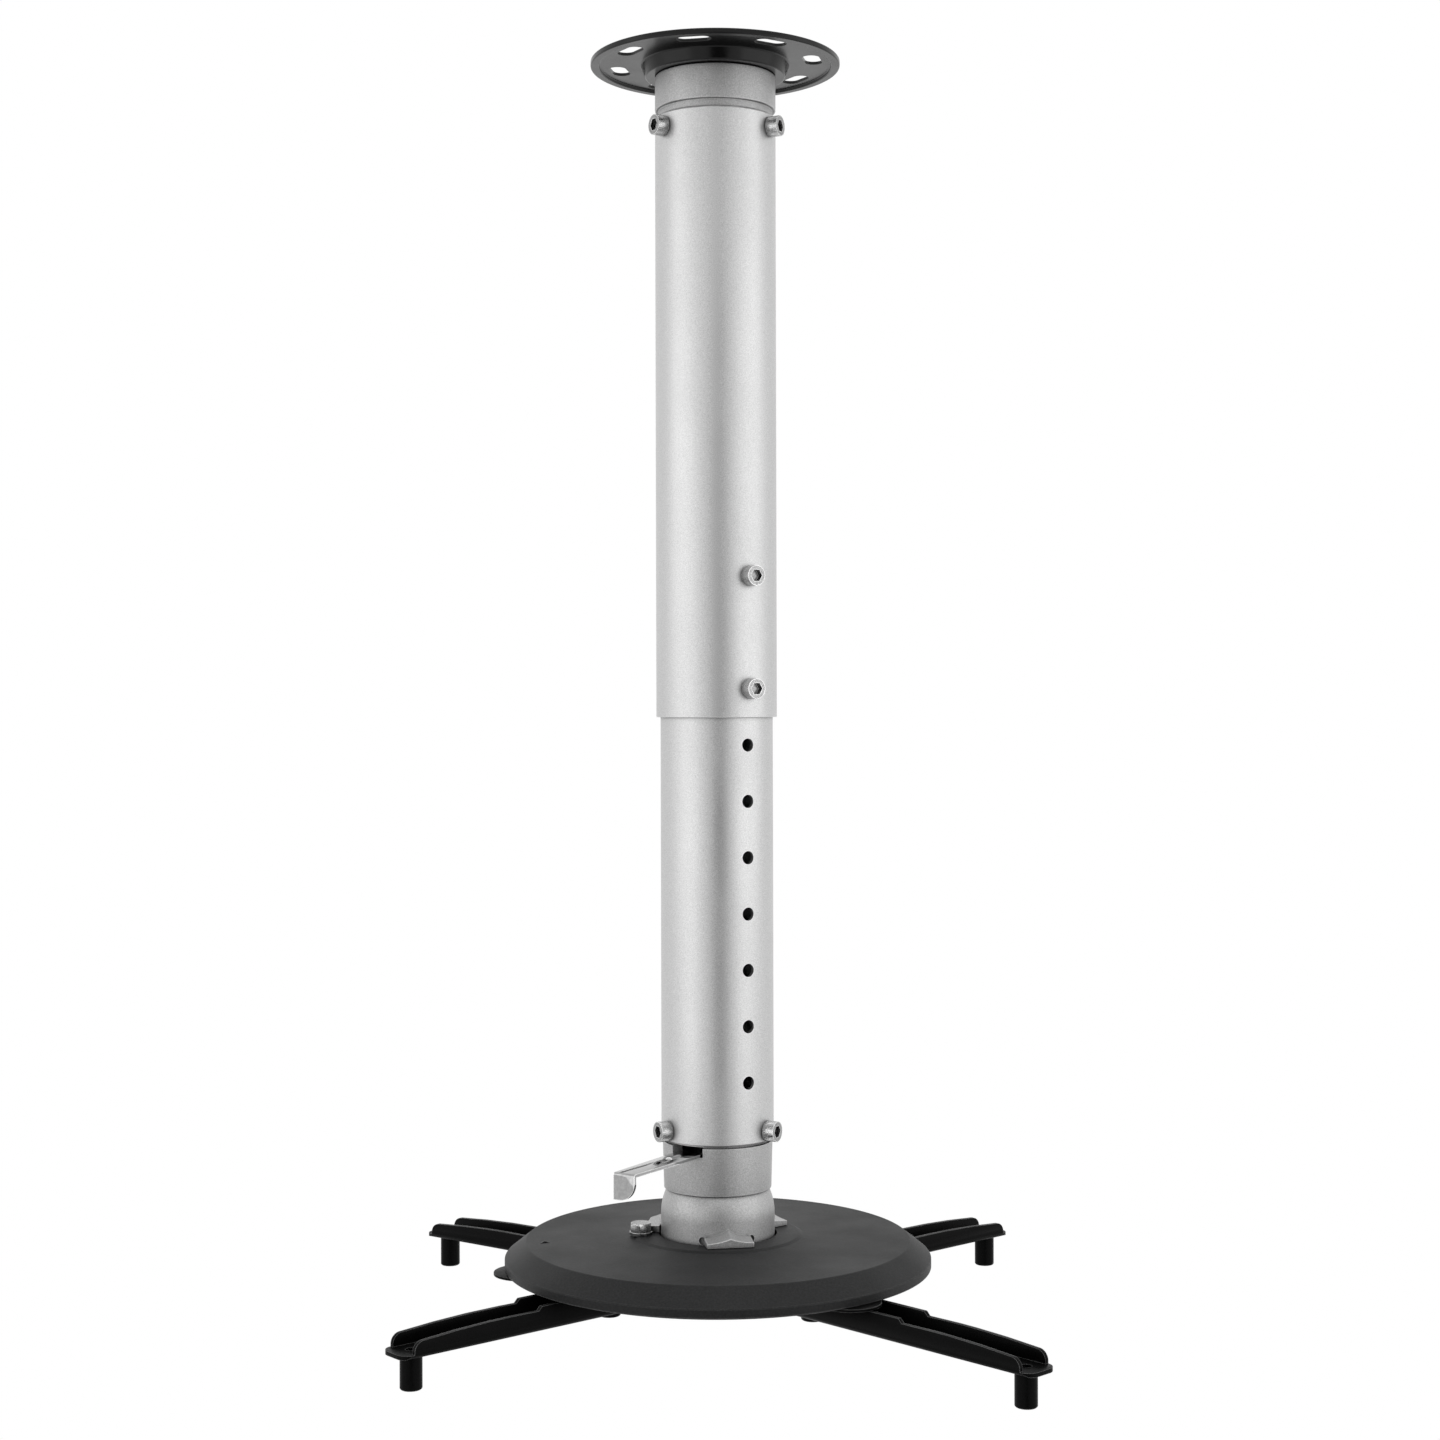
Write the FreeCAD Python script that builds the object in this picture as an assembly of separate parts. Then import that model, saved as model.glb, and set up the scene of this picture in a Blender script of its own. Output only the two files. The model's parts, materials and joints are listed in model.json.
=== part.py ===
"""Projector ceiling mount: a telescopic tube hung from a ceiling plate, with a ball joint and four arms.

Millimetres. The origin is the centre of the ceiling plate's top face, +Z is up and the mount hangs
below it. The front is -Y. An azimuth is counted about Z from the front towards +X.
"""
import FreeCAD, Part
import math
import os

V = FreeCAD.Vector
UP = V(0, 0, 1)
ORIGIN = V(0, 0, 0)

# Clearances
fit_gap = 0.1
slide_gap = 0.3
face_gap = 0.1

# Ceiling plate: one pressed steel dish
plate_r = 62.0
plate_sheet = 1.5
plate_lip_width = 4.5
plate_lip_drop = 1.2
plate_lip_edge = 1.0
boss_r = 37.0
boss_taper = 2.2
boss_depth = 7.5
bend_r = 2.4
slot_count = 8
slot_circle_r = 49.0
slot_length = 17.0
slot_width = 8.5
slot_first_azimuth = -12.0

# Tubes
outer_tube_r = 30.0
outer_tube_wall = 1.75
outer_tube_length = 297.5
inner_tube_wall = 2.0
hole_pitch = 27.5
hole_count = 10
hole_r = 3.25
hole_azimuth = 33.0
top_hole_margin = 14.0
lowest_hole_margin = 30.0
clamp_pitches = 2
first_clamp_above_end = 14.0

# Screws through the tubes: M6 socket caps
screw_r = 3.0
screw_head_r = 5.0
screw_head_height = 6.0
socket_across_flats = 5.0
socket_depth = 3.0
upper_screw_azimuths = (-57.0, 63.0, 183.0)
lower_screw_azimuths = (-60.0, 60.0, 180.0)
upper_screw_below_edge = 7.0
lower_screw_above_edge = 5.0

# Upper collar, the cast plug that hangs the outer tube from the plate
collar_height = 17.0
collar_groove = 3.7
collar_top_web = 5.0
upper_plug_length = 17.5
plug_wall = 4.5

# Centre bolt of the ceiling plate, M8
centre_bolt_r = 4.0
centre_head_r = 8.5
centre_head_height = 4.0
centre_washer_r = 11.0
washer_sheet = 1.6
nut_across_flats = 13.0
nut_height = 6.5

# Lower collar, the cast socket over the ball
neck_gap = 1.6
lower_collar_r = 27.3
lower_collar_end_r = 26.7
lower_collar_height = 23.4
lower_plug_length = 21.0
lever_room = 5.4
lever_window_height = 4.4
seat_lip_height = 3.0
lever_window_azimuths = (-54.5, -15.6)

# Ball joint
ball_drop = 12.9
ball_r = 28.3
dome_wall = 3.0
dome_opening_angle = 31.5
liner_thickness = 0.8
liner_angles = (28.0, 44.0)
cup_thickness = 2.5
cup_edge_angle = 56.0
cup_seat_r = 10.0
clamp_bolt_r = 4.0
clamp_head_height = 5.3

# Clamp lever, folded from strip
lever_sheet = 1.6
lever_head_r = 11.0
lever_azimuth = -31.5
lever_neck_width = 10.4
lever_root_width = 14.2
lever_tip_width = 11.8
lever_length = 84.0
lever_tab_drop = 12.8
lever_bead_r = 2.4
lever_bead_above = 1.0
lever_bead_start = 36.0
lever_bead_length = 9.0

# Hub under the ball
hub_above_cover = 10.1
hub_flange_height = 6.0
hub_flange_r = 16.0
ear_azimuths = (10.0, 130.0, -110.0)
ear_r = 36.0
ear_half_width = 11.5
ear_height = 2.4
ear_corner_r = 1.5
ear_front_peak = 2.1
ear_wall_rise = 1.1
gusset_height = 5.8
notch_half_width = 13.3
notch_depth = 1.6
notch_height = 3.6
hub_screw_circle_r = 22.0
hub_screw_r = 2.5
hub_screw_head_r = 4.0
hub_screw_head_height = 2.2

# Cover disc, a moulded dish
cover_r = 105.8
cover_chamfer_width = 10.4
cover_ring_r = 43.0
cover_ring_step = 0.5
cover_slope_drop = 2.7
cover_chamfer_drop = 8.2
cover_rim_height = 4.3
cover_wall = 2.0
cover_post_r = 5.0
cover_post_inside_flat = 7.4
mark_inside_flat = 4.9
mark_length = 4.5
mark_depth = 0.5

# Base plate with three lobes
base_sheet = 1.5
base_inside_rim = 4.8
base_centre_hole_r = 15.0
lobe_azimuths = (-80.5, 39.5, 159.5)
lobe_past_rim = 5.7
lobe_half_width = 15.0

# Lock bolt beside the hub, M6
lock_azimuth = -83.5
lock_circle_r = 38.4
lock_bolt_r = 3.0
lock_across_flats = 10.0
lock_head_height = 4.3
lock_washer_r = 5.7
lock_sleeve_r = 5.5

# Arms: channels that swivel and slide on shouldered sleeves
pivot_circle_r = 64.0
arm_half_width = 10.0
arm_sheet = 2.0
arm_floor_below_base = 12.2
arm_top_gap = 0.3
arm_step = 2.0
arm_step_from_foot = 64.0
arm_tip_wall = 6.0
arm_wall_past_foot = 4.5
arm_wall_end_r = 5.0
arm_tongue = 10.0
arm_tongue_corner_r = 6.0
arm_fold_r = 2.5
slot_nearest = 110.0
slot_furthest = 132.0
arm_slot_margin = 8.0
sleeve_r = 4.0
shoulder_r = 7.0
pivot_screw_r = 2.5
pivot_head_r = 5.6
pivot_head_height = 2.6
foot_r = 5.15
foot_length = 16.0
foot_bore_r = 2.25
foot_rim = 0.6

front_left_reach = 113.3
front_right_reach = 129.7
rear_right_reach = 123.5
rear_left_reach = 125.9

# Each arm: pivot azimuth, direction of the arm and distance from pivot to foot
arms = {
    "front_left": (-55.0, -49.4, front_left_reach),
    "front_right": (45.0, 43.8, front_right_reach),
    "rear_right": (125.0, 130.7, rear_right_reach),
    "rear_left": (-135.0, -126.1, rear_left_reach),
}

# Levels, worked out downwards from the ceiling
tube_top = -(boss_depth + face_gap + collar_height + collar_groove)
outer_tube_end = tube_top - outer_tube_length
outer_bore_r = outer_tube_r - outer_tube_wall
upper_screw_level = tube_top - upper_screw_below_edge
lower_clamp_level = outer_tube_end + first_clamp_above_end
upper_clamp_level = lower_clamp_level + clamp_pitches * hole_pitch
inner_tube_r = outer_bore_r - slide_gap
inner_bore_r = inner_tube_r - inner_tube_wall
inner_tube_top = upper_clamp_level + top_hole_margin
lowest_hole_level = upper_clamp_level - (hole_count - 1) * hole_pitch
inner_tube_end = lowest_hole_level - lowest_hole_margin
lower_screw_level = inner_tube_end + lower_screw_above_edge
socket_top = inner_tube_end - neck_gap
lever_floor = socket_top - lever_room
socket_end = socket_top - lower_collar_height
ball_level = socket_end - ball_drop
cover_level = ball_level - hub_above_cover
cover_edge_level = cover_level - cover_slope_drop
cover_rim_top = cover_edge_level - cover_chamfer_drop
cover_end = cover_rim_top - cover_rim_height
cover_flat_r = cover_r - cover_chamfer_width
cover_post_circle_r = cover_flat_r - cover_post_inside_flat
mark_circle_r = cover_flat_r - mark_inside_flat - mark_length
base_r = cover_r - base_inside_rim
lobe_reach = cover_r + lobe_past_rim
base_top = cover_end - face_gap
base_end = base_top - base_sheet
arm_floor_end = base_end - arm_floor_below_base
arm_floor = arm_floor_end + arm_sheet
arm_top = base_end - arm_top_gap
seat_r = ball_r + slide_gap + liner_thickness + slide_gap
dome_inner_r = ball_r - dome_wall
seat_lip_r = math.sqrt(ball_r ** 2 - ball_drop ** 2) + slide_gap
cup_r = dome_inner_r - slide_gap
cup_seat_level = ball_level + math.sqrt((cup_r - cup_thickness) ** 2 - cup_seat_r ** 2)


def polar(radius, azimuth, z=0.0):
    """A point at an azimuth counted from the front."""
    a = math.radians(azimuth)
    return V(radius * math.sin(a), -radius * math.cos(a), z)


def turned(shape, azimuth):
    """The shape, modelled at the front, turned about Z to its azimuth."""
    copy = shape.copy()
    copy.rotate(ORIGIN, UP, azimuth)
    return copy


def rod(radius, low, high, at=ORIGIN):
    """An upright cylinder between two levels."""
    return Part.makeCylinder(radius, high - low, V(at.x, at.y, low), UP)


def ring(inner, outer, low, high, at=ORIGIN):
    return rod(outer, low, high, at).cut(rod(inner, low, high, at))


def radial_rod(radius, near, far, azimuth, level):
    """A cylinder that points away from the axis."""
    return Part.makeCylinder(radius, far - near, polar(near, azimuth, level), polar(1, azimuth))


def hexagon_prism(across_flats, low, high, at=ORIGIN):
    corner = across_flats / math.sqrt(3)
    points = [V(at.x + corner * math.cos(math.radians(60 * k + 30)),
                at.y + corner * math.sin(math.radians(60 * k + 30)), low) for k in range(7)]
    return Part.Face(Part.makePolygon(points)).extrude(V(0, 0, high - low))


def profile_point(radius, z):
    return V(radius, 0, z)


def on_sphere(radius, angle):
    """A profile point at an angle from the pole of a sphere about the ball's centre."""
    a = math.radians(angle)
    return V(radius * math.sin(a), 0, ball_level + radius * math.cos(a))


def line(start, end):
    return Part.LineSegment(start, end).toShape()


def sphere_arc(radius, start_angle, end_angle):
    middle = on_sphere(radius, (start_angle + end_angle) / 2)
    return Part.Arc(on_sphere(radius, start_angle), middle, on_sphere(radius, end_angle)).toShape()


def revolve_edges(edges):
    wire = Part.Wire(Part.__sortEdges__(edges))
    return Part.Face(wire).revolve(ORIGIN, UP, 360)


def revolve_points(points):
    corners = [profile_point(r, z) for r, z in points]
    corners.append(corners[0])
    return Part.Face(Part.makePolygon(corners)).revolve(ORIGIN, UP, 360)


def circles_at(shape, radius, z):
    """The circular edges of a turned shape at a radius and a level."""
    found = []
    for edge in shape.Edges:
        curve = edge.Curve
        if not isinstance(curve, Part.Circle) or abs(curve.Radius - radius) > 1e-4:
            continue
        if abs(curve.Center.z - z) < 1e-4 and math.hypot(curve.Center.x, curve.Center.y) < 1e-4:
            found.append(edge)
    return found


def stadium(length, width, low, high):
    """An upright slot cutter along X, centred on the axis."""
    half = (length - width) / 2
    r = width / 2
    body = Part.makeBox(2 * half, width, high - low, V(-half, -r, low))
    for side in (-1, 1):
        body = body.fuse(rod(r, low, high, V(side * half, 0, 0)))
    return body.removeSplitter()


def ceiling_plate():
    """Pressed dish: a flat ring against the ceiling, a turned lip and a boss pushed down."""
    lip_r = plate_r - plate_lip_width
    bend_out = boss_r - plate_sheet
    boss_end = boss_r - boss_taper
    profile = [
        (plate_r, 0), (plate_r, -plate_sheet - plate_lip_drop), (lip_r, -plate_sheet - plate_lip_drop),
        (lip_r, -plate_sheet), (boss_r, -plate_sheet), (boss_end, -boss_depth),
        (centre_bolt_r + fit_gap, -boss_depth), (centre_bolt_r + fit_gap, -boss_depth + plate_sheet),
        (boss_end - plate_sheet, -boss_depth + plate_sheet), (bend_out, 0)]
    dish = revolve_points(profile)
    dish = dish.makeFillet(bend_r, circles_at(dish, boss_end, -boss_depth))
    dish = dish.makeFillet(bend_r - plate_sheet, circles_at(dish, boss_end - plate_sheet, -boss_depth + plate_sheet))
    dish = dish.makeFillet(bend_r, circles_at(dish, boss_r, -plate_sheet))
    dish = dish.makeFillet(plate_lip_edge, circles_at(dish, plate_r, -plate_sheet - plate_lip_drop))
    cutter = stadium(slot_length, slot_width, -plate_sheet - 1, 1)
    cutter.translate(V(0, -slot_circle_r, 0))
    for k in range(slot_count):
        dish = dish.cut(turned(cutter, slot_first_azimuth + k * 360 / slot_count))
    return dish


def upper_collar():
    top = -boss_depth - face_gap
    plug_r = outer_bore_r - fit_gap
    plug_end = tube_top - upper_plug_length
    body = revolve_points([
        (centre_bolt_r + fit_gap, top), (outer_tube_r, top), (outer_tube_r, top - collar_height),
        (plug_r, top - collar_height), (plug_r, plug_end), (plug_r - plug_wall, plug_end),
        (plug_r - plug_wall, top - collar_top_web), (centre_bolt_r + fit_gap, top - collar_top_web)])
    body = body.makeChamfer(0.6, circles_at(body, outer_tube_r, top - collar_height))
    for azimuth in upper_screw_azimuths:
        body = body.cut(radial_rod(screw_r + fit_gap, 10, outer_tube_r, azimuth, upper_screw_level))
    return body


def centre_bolt():
    seat = -boss_depth + plate_sheet
    nut_end = -boss_depth - face_gap - collar_top_web - washer_sheet - nut_height
    head = rod(centre_head_r, seat, seat + centre_head_height)
    head = head.makeFillet(1.4, circles_at(head, centre_head_r, seat + centre_head_height))
    head = head.cut(hexagon_prism(socket_across_flats, seat + 1.6, seat + centre_head_height + 1))
    return head.fuse(rod(centre_bolt_r, nut_end - 2, seat))


def centre_washer():
    seat = -boss_depth - face_gap - collar_top_web
    return ring(centre_bolt_r + fit_gap, centre_washer_r, seat - washer_sheet, seat)


def hex_nut(bore_r, low, high):
    nut = hexagon_prism(nut_across_flats, low, high)
    crown = Part.makeCone(nut_across_flats / 2 + 3, nut_across_flats / 2 - 0.2, 3.2, V(0, 0, high - 3.2))
    nut = nut.common(rod(nut_across_flats, low, high - 3.2).fuse(crown))
    return nut.cut(rod(bore_r, low - 1, high + 1))


def centre_nut():
    seat = -boss_depth - face_gap - collar_top_web - washer_sheet
    nut = hex_nut(centre_bolt_r, -nut_height, 0)
    nut.rotate(V(0, 0, -nut_height / 2), V(1, 0, 0), 180)
    nut.translate(V(0, 0, seat))
    return nut


def outer_tube():
    tube = ring(outer_bore_r, outer_tube_r, outer_tube_end, tube_top)
    for azimuth in upper_screw_azimuths:
        tube = tube.cut(radial_rod(screw_r + fit_gap, outer_bore_r / 2, outer_tube_r + 5, azimuth, upper_screw_level))
    for level in (upper_clamp_level, lower_clamp_level):
        tube = tube.cut(radial_rod(screw_r + fit_gap, outer_bore_r / 2, outer_tube_r + 5, hole_azimuth, level))
    return tube


def cap_screw(seat_r, tip_r, azimuth, level):
    """A socket cap screw that points at the axis, its head seated on a tube of radius seat_r."""
    head_near = math.sqrt(seat_r ** 2 - screw_head_r ** 2)
    head = Part.makeCylinder(screw_head_r, seat_r - head_near + screw_head_height)
    rim = circles_at(head, screw_head_r, seat_r - head_near + screw_head_height)
    head = head.makeFillet(0.7, rim)
    head.rotate(ORIGIN, V(1, 0, 0), 90)
    head.translate(V(0, -head_near, 0))
    shell = rod(seat_r + 0.02, -2 * screw_head_r, 2 * screw_head_r)
    head = head.cut(shell)
    socket = hexagon_prism(socket_across_flats, 0, socket_depth + 1)
    socket.rotate(ORIGIN, V(1, 0, 0), 90)
    socket.translate(V(0, -seat_r - screw_head_height + socket_depth, 0))
    shank = Part.makeCylinder(screw_r, seat_r + 1 - tip_r, V(0, -tip_r, 0), V(0, -1, 0))
    screw = turned(head.fuse(shank).cut(socket), azimuth)
    screw.translate(V(0, 0, level))
    return screw


def upper_screws():
    tip_r = outer_bore_r - plug_wall - 1
    return Part.Compound([cap_screw(outer_tube_r, tip_r, a, upper_screw_level) for a in upper_screw_azimuths])


def clamp_screws():
    """The two height screws. Their shanks stop inside the outer tube's wall."""
    tip_r = outer_bore_r + 0.3
    levels = (upper_clamp_level, lower_clamp_level)
    return Part.Compound([cap_screw(outer_tube_r, tip_r, hole_azimuth, level) for level in levels])


def inner_tube():
    tube = ring(inner_bore_r, inner_tube_r, inner_tube_end, inner_tube_top)
    for k in range(hole_count):
        level = lowest_hole_level + k * hole_pitch
        tube = tube.cut(radial_rod(hole_r, inner_bore_r / 2, inner_tube_r + 3, hole_azimuth, level))
    for azimuth in lower_screw_azimuths:
        tube = tube.cut(radial_rod(screw_r + fit_gap, inner_bore_r / 2, inner_tube_r + 5, azimuth, lower_screw_level))
    return tube


def lower_screws():
    tip_r = inner_bore_r - plug_wall - 1
    return Part.Compound([cap_screw(inner_tube_r, tip_r, a, lower_screw_level) for a in lower_screw_azimuths])


def window_sector(inner, outer, low, high, azimuths):
    """A stretch of a ring between two azimuths."""
    start, end = azimuths
    face = Part.Face(Part.makePolygon([
        profile_point(inner, low), profile_point(outer, low), profile_point(outer, high),
        profile_point(inner, high), profile_point(inner, low)]))
    sector = face.revolve(ORIGIN, UP, end - start)
    sector.rotate(ORIGIN, UP, start - 90)
    return sector


def lower_collar():
    """Cast socket: a plug in the tube, a room for the lever's nut, and a hollow seat over the ball."""
    plug_r = inner_bore_r - fit_gap
    room_r = plug_r - plug_wall
    plug_top = inner_tube_end + lower_plug_length
    bore_r = clamp_bolt_r + fit_gap
    body = revolve_points([
        (room_r, plug_top), (plug_r, plug_top), (plug_r, socket_top), (lower_collar_r, socket_top),
        (lower_collar_end_r, socket_end), (bore_r, socket_end), (bore_r, lever_floor), (room_r, lever_floor)])
    body = body.makeChamfer(0.5, circles_at(body, lower_collar_r, socket_top))
    seat = Part.makeSphere(seat_r, V(0, 0, ball_level))
    bore = rod(seat_lip_r, socket_end - 1, socket_end + seat_lip_height)
    body = body.cut(seat.cut(rod(2 * seat_r, socket_end - 2 * seat_r, socket_end + seat_lip_height)))
    body = body.cut(bore)
    body = body.cut(window_sector(room_r - 2, lower_collar_r + 3, socket_top - lever_window_height,
                                  socket_top + 0.01, lever_window_azimuths))
    for azimuth in lower_screw_azimuths:
        body = body.cut(radial_rod(screw_r + fit_gap, 10, inner_tube_r, azimuth, lower_screw_level))
    return body


def clamp_bolt():
    """Hex bolt from inside the ball up to the lever's nut."""
    top = lever_floor + nut_height + 2
    seat = cup_seat_level - face_gap
    head = hexagon_prism(nut_across_flats, seat - clamp_head_height, seat)
    return head.fuse(rod(clamp_bolt_r - 0.05, seat, top))


def clamp_nut():
    low = lever_floor + face_gap
    return turned(hex_nut(clamp_bolt_r, low, low + nut_height), lever_azimuth)


def clamp_lever():
    """Strip lever: a ring head round the nut, a tapering arm with a pressed bead and a folded tab."""
    low = lever_floor + face_gap + 1.2
    high = low + lever_sheet
    neck_x = lever_neck_width / 2
    root_x = lever_root_width / 2
    tip_x = lever_tip_width / 2
    neck_end = inner_bore_r - plug_wall
    half = [(neck_x, 0), (neck_x, neck_end), (root_x, lower_collar_r + 1), (tip_x, lever_length)]
    points = [V(-x, -y, low) for x, y in half] + [V(x, -y, low) for x, y in reversed(half)]
    outline = Part.Face(Part.makePolygon(points + points[:1]))
    arm = outline.extrude(V(0, 0, lever_sheet)).fuse(rod(lever_head_r, low, high))
    tab = Part.makeBox(lever_tip_width, lever_sheet, lever_tab_drop,
                       V(-tip_x, -lever_length, high - lever_tab_drop))
    round_corner = [e for e in tab.Edges if e.BoundBox.YLength > lever_sheet * 0.9
                    and e.BoundBox.ZMax < high - lever_tab_drop + 0.01 and e.BoundBox.XMin > 0]
    tab = tab.makeFillet(lever_tip_width * 0.7, round_corner)
    bead_axis = high + lever_bead_above - lever_bead_r
    bead = Part.makeCylinder(lever_bead_r, lever_bead_length, V(0, -lever_bead_start, bead_axis), V(0, -1, 0))
    bead = bead.common(Part.makeBox(2 * lever_bead_r, lever_length, lever_bead_r,
                                    V(-lever_bead_r, -lever_length, low + lever_sheet / 2)))
    lever = arm.fuse(tab).removeSplitter()
    fold = [e for e in lever.Edges if abs(e.BoundBox.YMin + lever_length) < 0.01
            and e.BoundBox.ZLength < 0.01 and abs(e.BoundBox.ZMax - high) < 0.01 and e.BoundBox.XLength > 3]
    lever = lever.makeFillet(1.2, fold)
    lever = lever.fuse(bead).cut(hexagon_prism(nut_across_flats + 0.1, low - 1, high + 1))
    return turned(lever, lever_azimuth)


def friction_liner():
    inner = ball_r + slide_gap
    outer = inner + liner_thickness
    a, b = liner_angles
    return revolve_edges([sphere_arc(inner, a, b), sphere_arc(outer, a, b),
                          line(on_sphere(inner, a), on_sphere(outer, a)),
                          line(on_sphere(inner, b), on_sphere(outer, b))])


def pressure_cup():
    """Pressed cup that pulls up on the inside of the ball, with a flat seat for the bolt's head."""
    bore_r = clamp_bolt_r + fit_gap
    inner = cup_r - cup_thickness
    start = math.degrees(math.asin(bore_r / cup_r))
    seat = math.degrees(math.asin(cup_seat_r / inner))
    return revolve_edges([
        sphere_arc(cup_r, start, cup_edge_angle),
        line(on_sphere(cup_r, cup_edge_angle), on_sphere(inner, cup_edge_angle)),
        sphere_arc(inner, seat, cup_edge_angle),
        line(on_sphere(inner, seat), profile_point(bore_r, cup_seat_level)),
        line(profile_point(bore_r, cup_seat_level), on_sphere(cup_r, start))])


def ear_outline(y, side_height, peak_height):
    """Upright outline of a lug: flat below, its top drawn up to a point by two hollow curves."""
    low = cover_level + face_gap
    half = ear_half_width
    side, peak = low + side_height, low + peak_height
    sag = side + 0.22 * (peak - side)
    return Part.Wire([
        line(V(-half, y, side), V(-half, y, low)), line(V(-half, y, low), V(half, y, low)),
        line(V(half, y, low), V(half, y, side)),
        Part.Arc(V(half, y, side), V(half * 0.42, y, sag), V(0, y, peak)).toShape(),
        Part.Arc(V(0, y, peak), V(-half * 0.42, y, sag), V(-half, y, side)).toShape()])


def hub_ear():
    """One foot lug with its pointed gusset, modelled at the front as a loft towards the skirt."""
    front = ear_outline(-ear_r, ear_height, ear_height + ear_front_peak)
    back = ear_outline(-ball_r + dome_wall / 2, ear_height + ear_wall_rise, ear_height + gusset_height)
    lug = Part.makeLoft([front, back], True, True)
    corners = [e for e in lug.Edges if e.BoundBox.XLength < 0.01 and e.BoundBox.YLength < 0.01
               and e.BoundBox.YMax < -ear_r + 0.1 and e.BoundBox.ZLength > 1]
    return lug.makeFillet(ear_corner_r, corners)


def ball_hub():
    """Cast hub: an open dome, a straight skirt, an inward flange and three foot lugs."""
    skirt_end = base_top + face_gap
    dome = revolve_edges([
        sphere_arc(ball_r, dome_opening_angle, 90),
        line(on_sphere(ball_r, 90), profile_point(ball_r, skirt_end)),
        line(profile_point(ball_r, skirt_end), profile_point(hub_flange_r, skirt_end)),
        line(profile_point(hub_flange_r, skirt_end), profile_point(hub_flange_r, skirt_end + hub_flange_height)),
        line(profile_point(hub_flange_r, skirt_end + hub_flange_height),
             profile_point(dome_inner_r, skirt_end + hub_flange_height)),
        line(profile_point(dome_inner_r, skirt_end + hub_flange_height), on_sphere(dome_inner_r, 90)),
        sphere_arc(dome_inner_r, dome_opening_angle, 90),
        line(on_sphere(dome_inner_r, dome_opening_angle), on_sphere(ball_r, dome_opening_angle))])
    notch = Part.makeBox(2 * notch_half_width, ball_r, notch_height,
                         V(-notch_half_width, -2 * ball_r + notch_depth, cover_level))
    notch = notch.cut(rod(ball_r - notch_depth, cover_level - 1, ball_level))
    for azimuth in ear_azimuths:
        dome = dome.cut(turned(notch, azimuth)).fuse(turned(hub_ear(), azimuth))
    lock = polar(lock_circle_r, lock_azimuth)
    dome = dome.cut(rod(lock_washer_r + slide_gap, cover_level, ball_level, lock))
    for k in range(3):
        at = polar(hub_screw_circle_r, 60 + 120 * k)
        dome = dome.cut(rod(hub_screw_r + fit_gap, skirt_end - 1, skirt_end + hub_flange_height + 1, at))
    return dome


def hub_screws():
    screws = []
    for k in range(3):
        at = polar(hub_screw_circle_r, 60 + 120 * k)
        head = rod(hub_screw_head_r, base_end - hub_screw_head_height, base_end, at)
        screws.append(head.fuse(rod(hub_screw_r, base_end, base_top + hub_flange_height, at)))
    return Part.Compound(screws)


def cover_disc():
    """Moulded dish, open below, with a raised ring round the hub and a small pointer on its left."""
    hole_r = ball_r + slide_gap
    outer = [
        (hole_r, cover_level), (cover_ring_r, cover_level), (cover_ring_r + 1.5, cover_level - cover_ring_step),
        (cover_flat_r, cover_edge_level), (cover_r, cover_rim_top), (cover_r, cover_end)]
    inner = [
        (cover_r - cover_wall, cover_end), (cover_r - cover_wall, cover_rim_top - 0.4),
        (cover_flat_r - 0.6, cover_edge_level - cover_wall), (cover_ring_r, cover_level - cover_wall - 0.4),
        (hole_r, cover_level - cover_wall - 0.4)]
    dish = revolve_points(outer + inner)
    dish = dish.makeFillet(1.4, circles_at(dish, cover_flat_r, cover_edge_level))
    dish = dish.makeFillet(1.0, circles_at(dish, cover_r, cover_rim_top))
    for azimuth in lobe_azimuths:
        at = polar(cover_post_circle_r, azimuth)
        dish = dish.fuse(rod(cover_post_r, cover_end, cover_edge_level - cover_wall + 0.6, at))
    lock = polar(lock_circle_r, lock_azimuth)
    dish = dish.cut(rod(lock_bolt_r + fit_gap, cover_end, cover_level + 1, lock))
    half = mark_length / 2
    mark = Part.Face(Part.makePolygon([
        V(-mark_circle_r - mark_length, 0, 0), V(-mark_circle_r, -half, 0), V(-mark_circle_r, half, 0),
        V(-mark_circle_r - mark_length, 0, 0)])).extrude(V(0, 0, 5))
    mark_level = cover_level - cover_ring_step - (cover_slope_drop - cover_ring_step) * (
        (mark_circle_r - cover_ring_r) / (cover_flat_r - cover_ring_r))
    mark.translate(V(0, 0, mark_level - mark_depth))
    return dish.cut(turned(mark, 4.0))


def base_plate():
    """Flat steel plate with three rounded lobes beyond the cover's rim."""
    plate = rod(base_r, base_end, base_top)
    for azimuth in lobe_azimuths:
        reach = lobe_reach - lobe_half_width
        lobe = Part.makeBox(2 * lobe_half_width, reach, base_sheet, V(-lobe_half_width, -reach, base_end))
        lobe = lobe.fuse(rod(lobe_half_width, base_end, base_top, V(0, -reach, 0)))
        plate = plate.fuse(turned(lobe, azimuth))
    plate = plate.removeSplitter()
    holes = [(ORIGIN, base_centre_hole_r), (polar(lock_circle_r, lock_azimuth), lock_bolt_r)]
    holes += [(polar(hub_screw_circle_r, 60 + 120 * k), hub_screw_r + fit_gap) for k in range(3)]
    holes += [(polar(pivot_circle_r, azimuth), pivot_screw_r) for azimuth, _, _ in arms.values()]
    for at, radius in holes:
        plate = plate.cut(rod(radius, base_end - 1, base_top + 1, at))
    return plate


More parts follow.
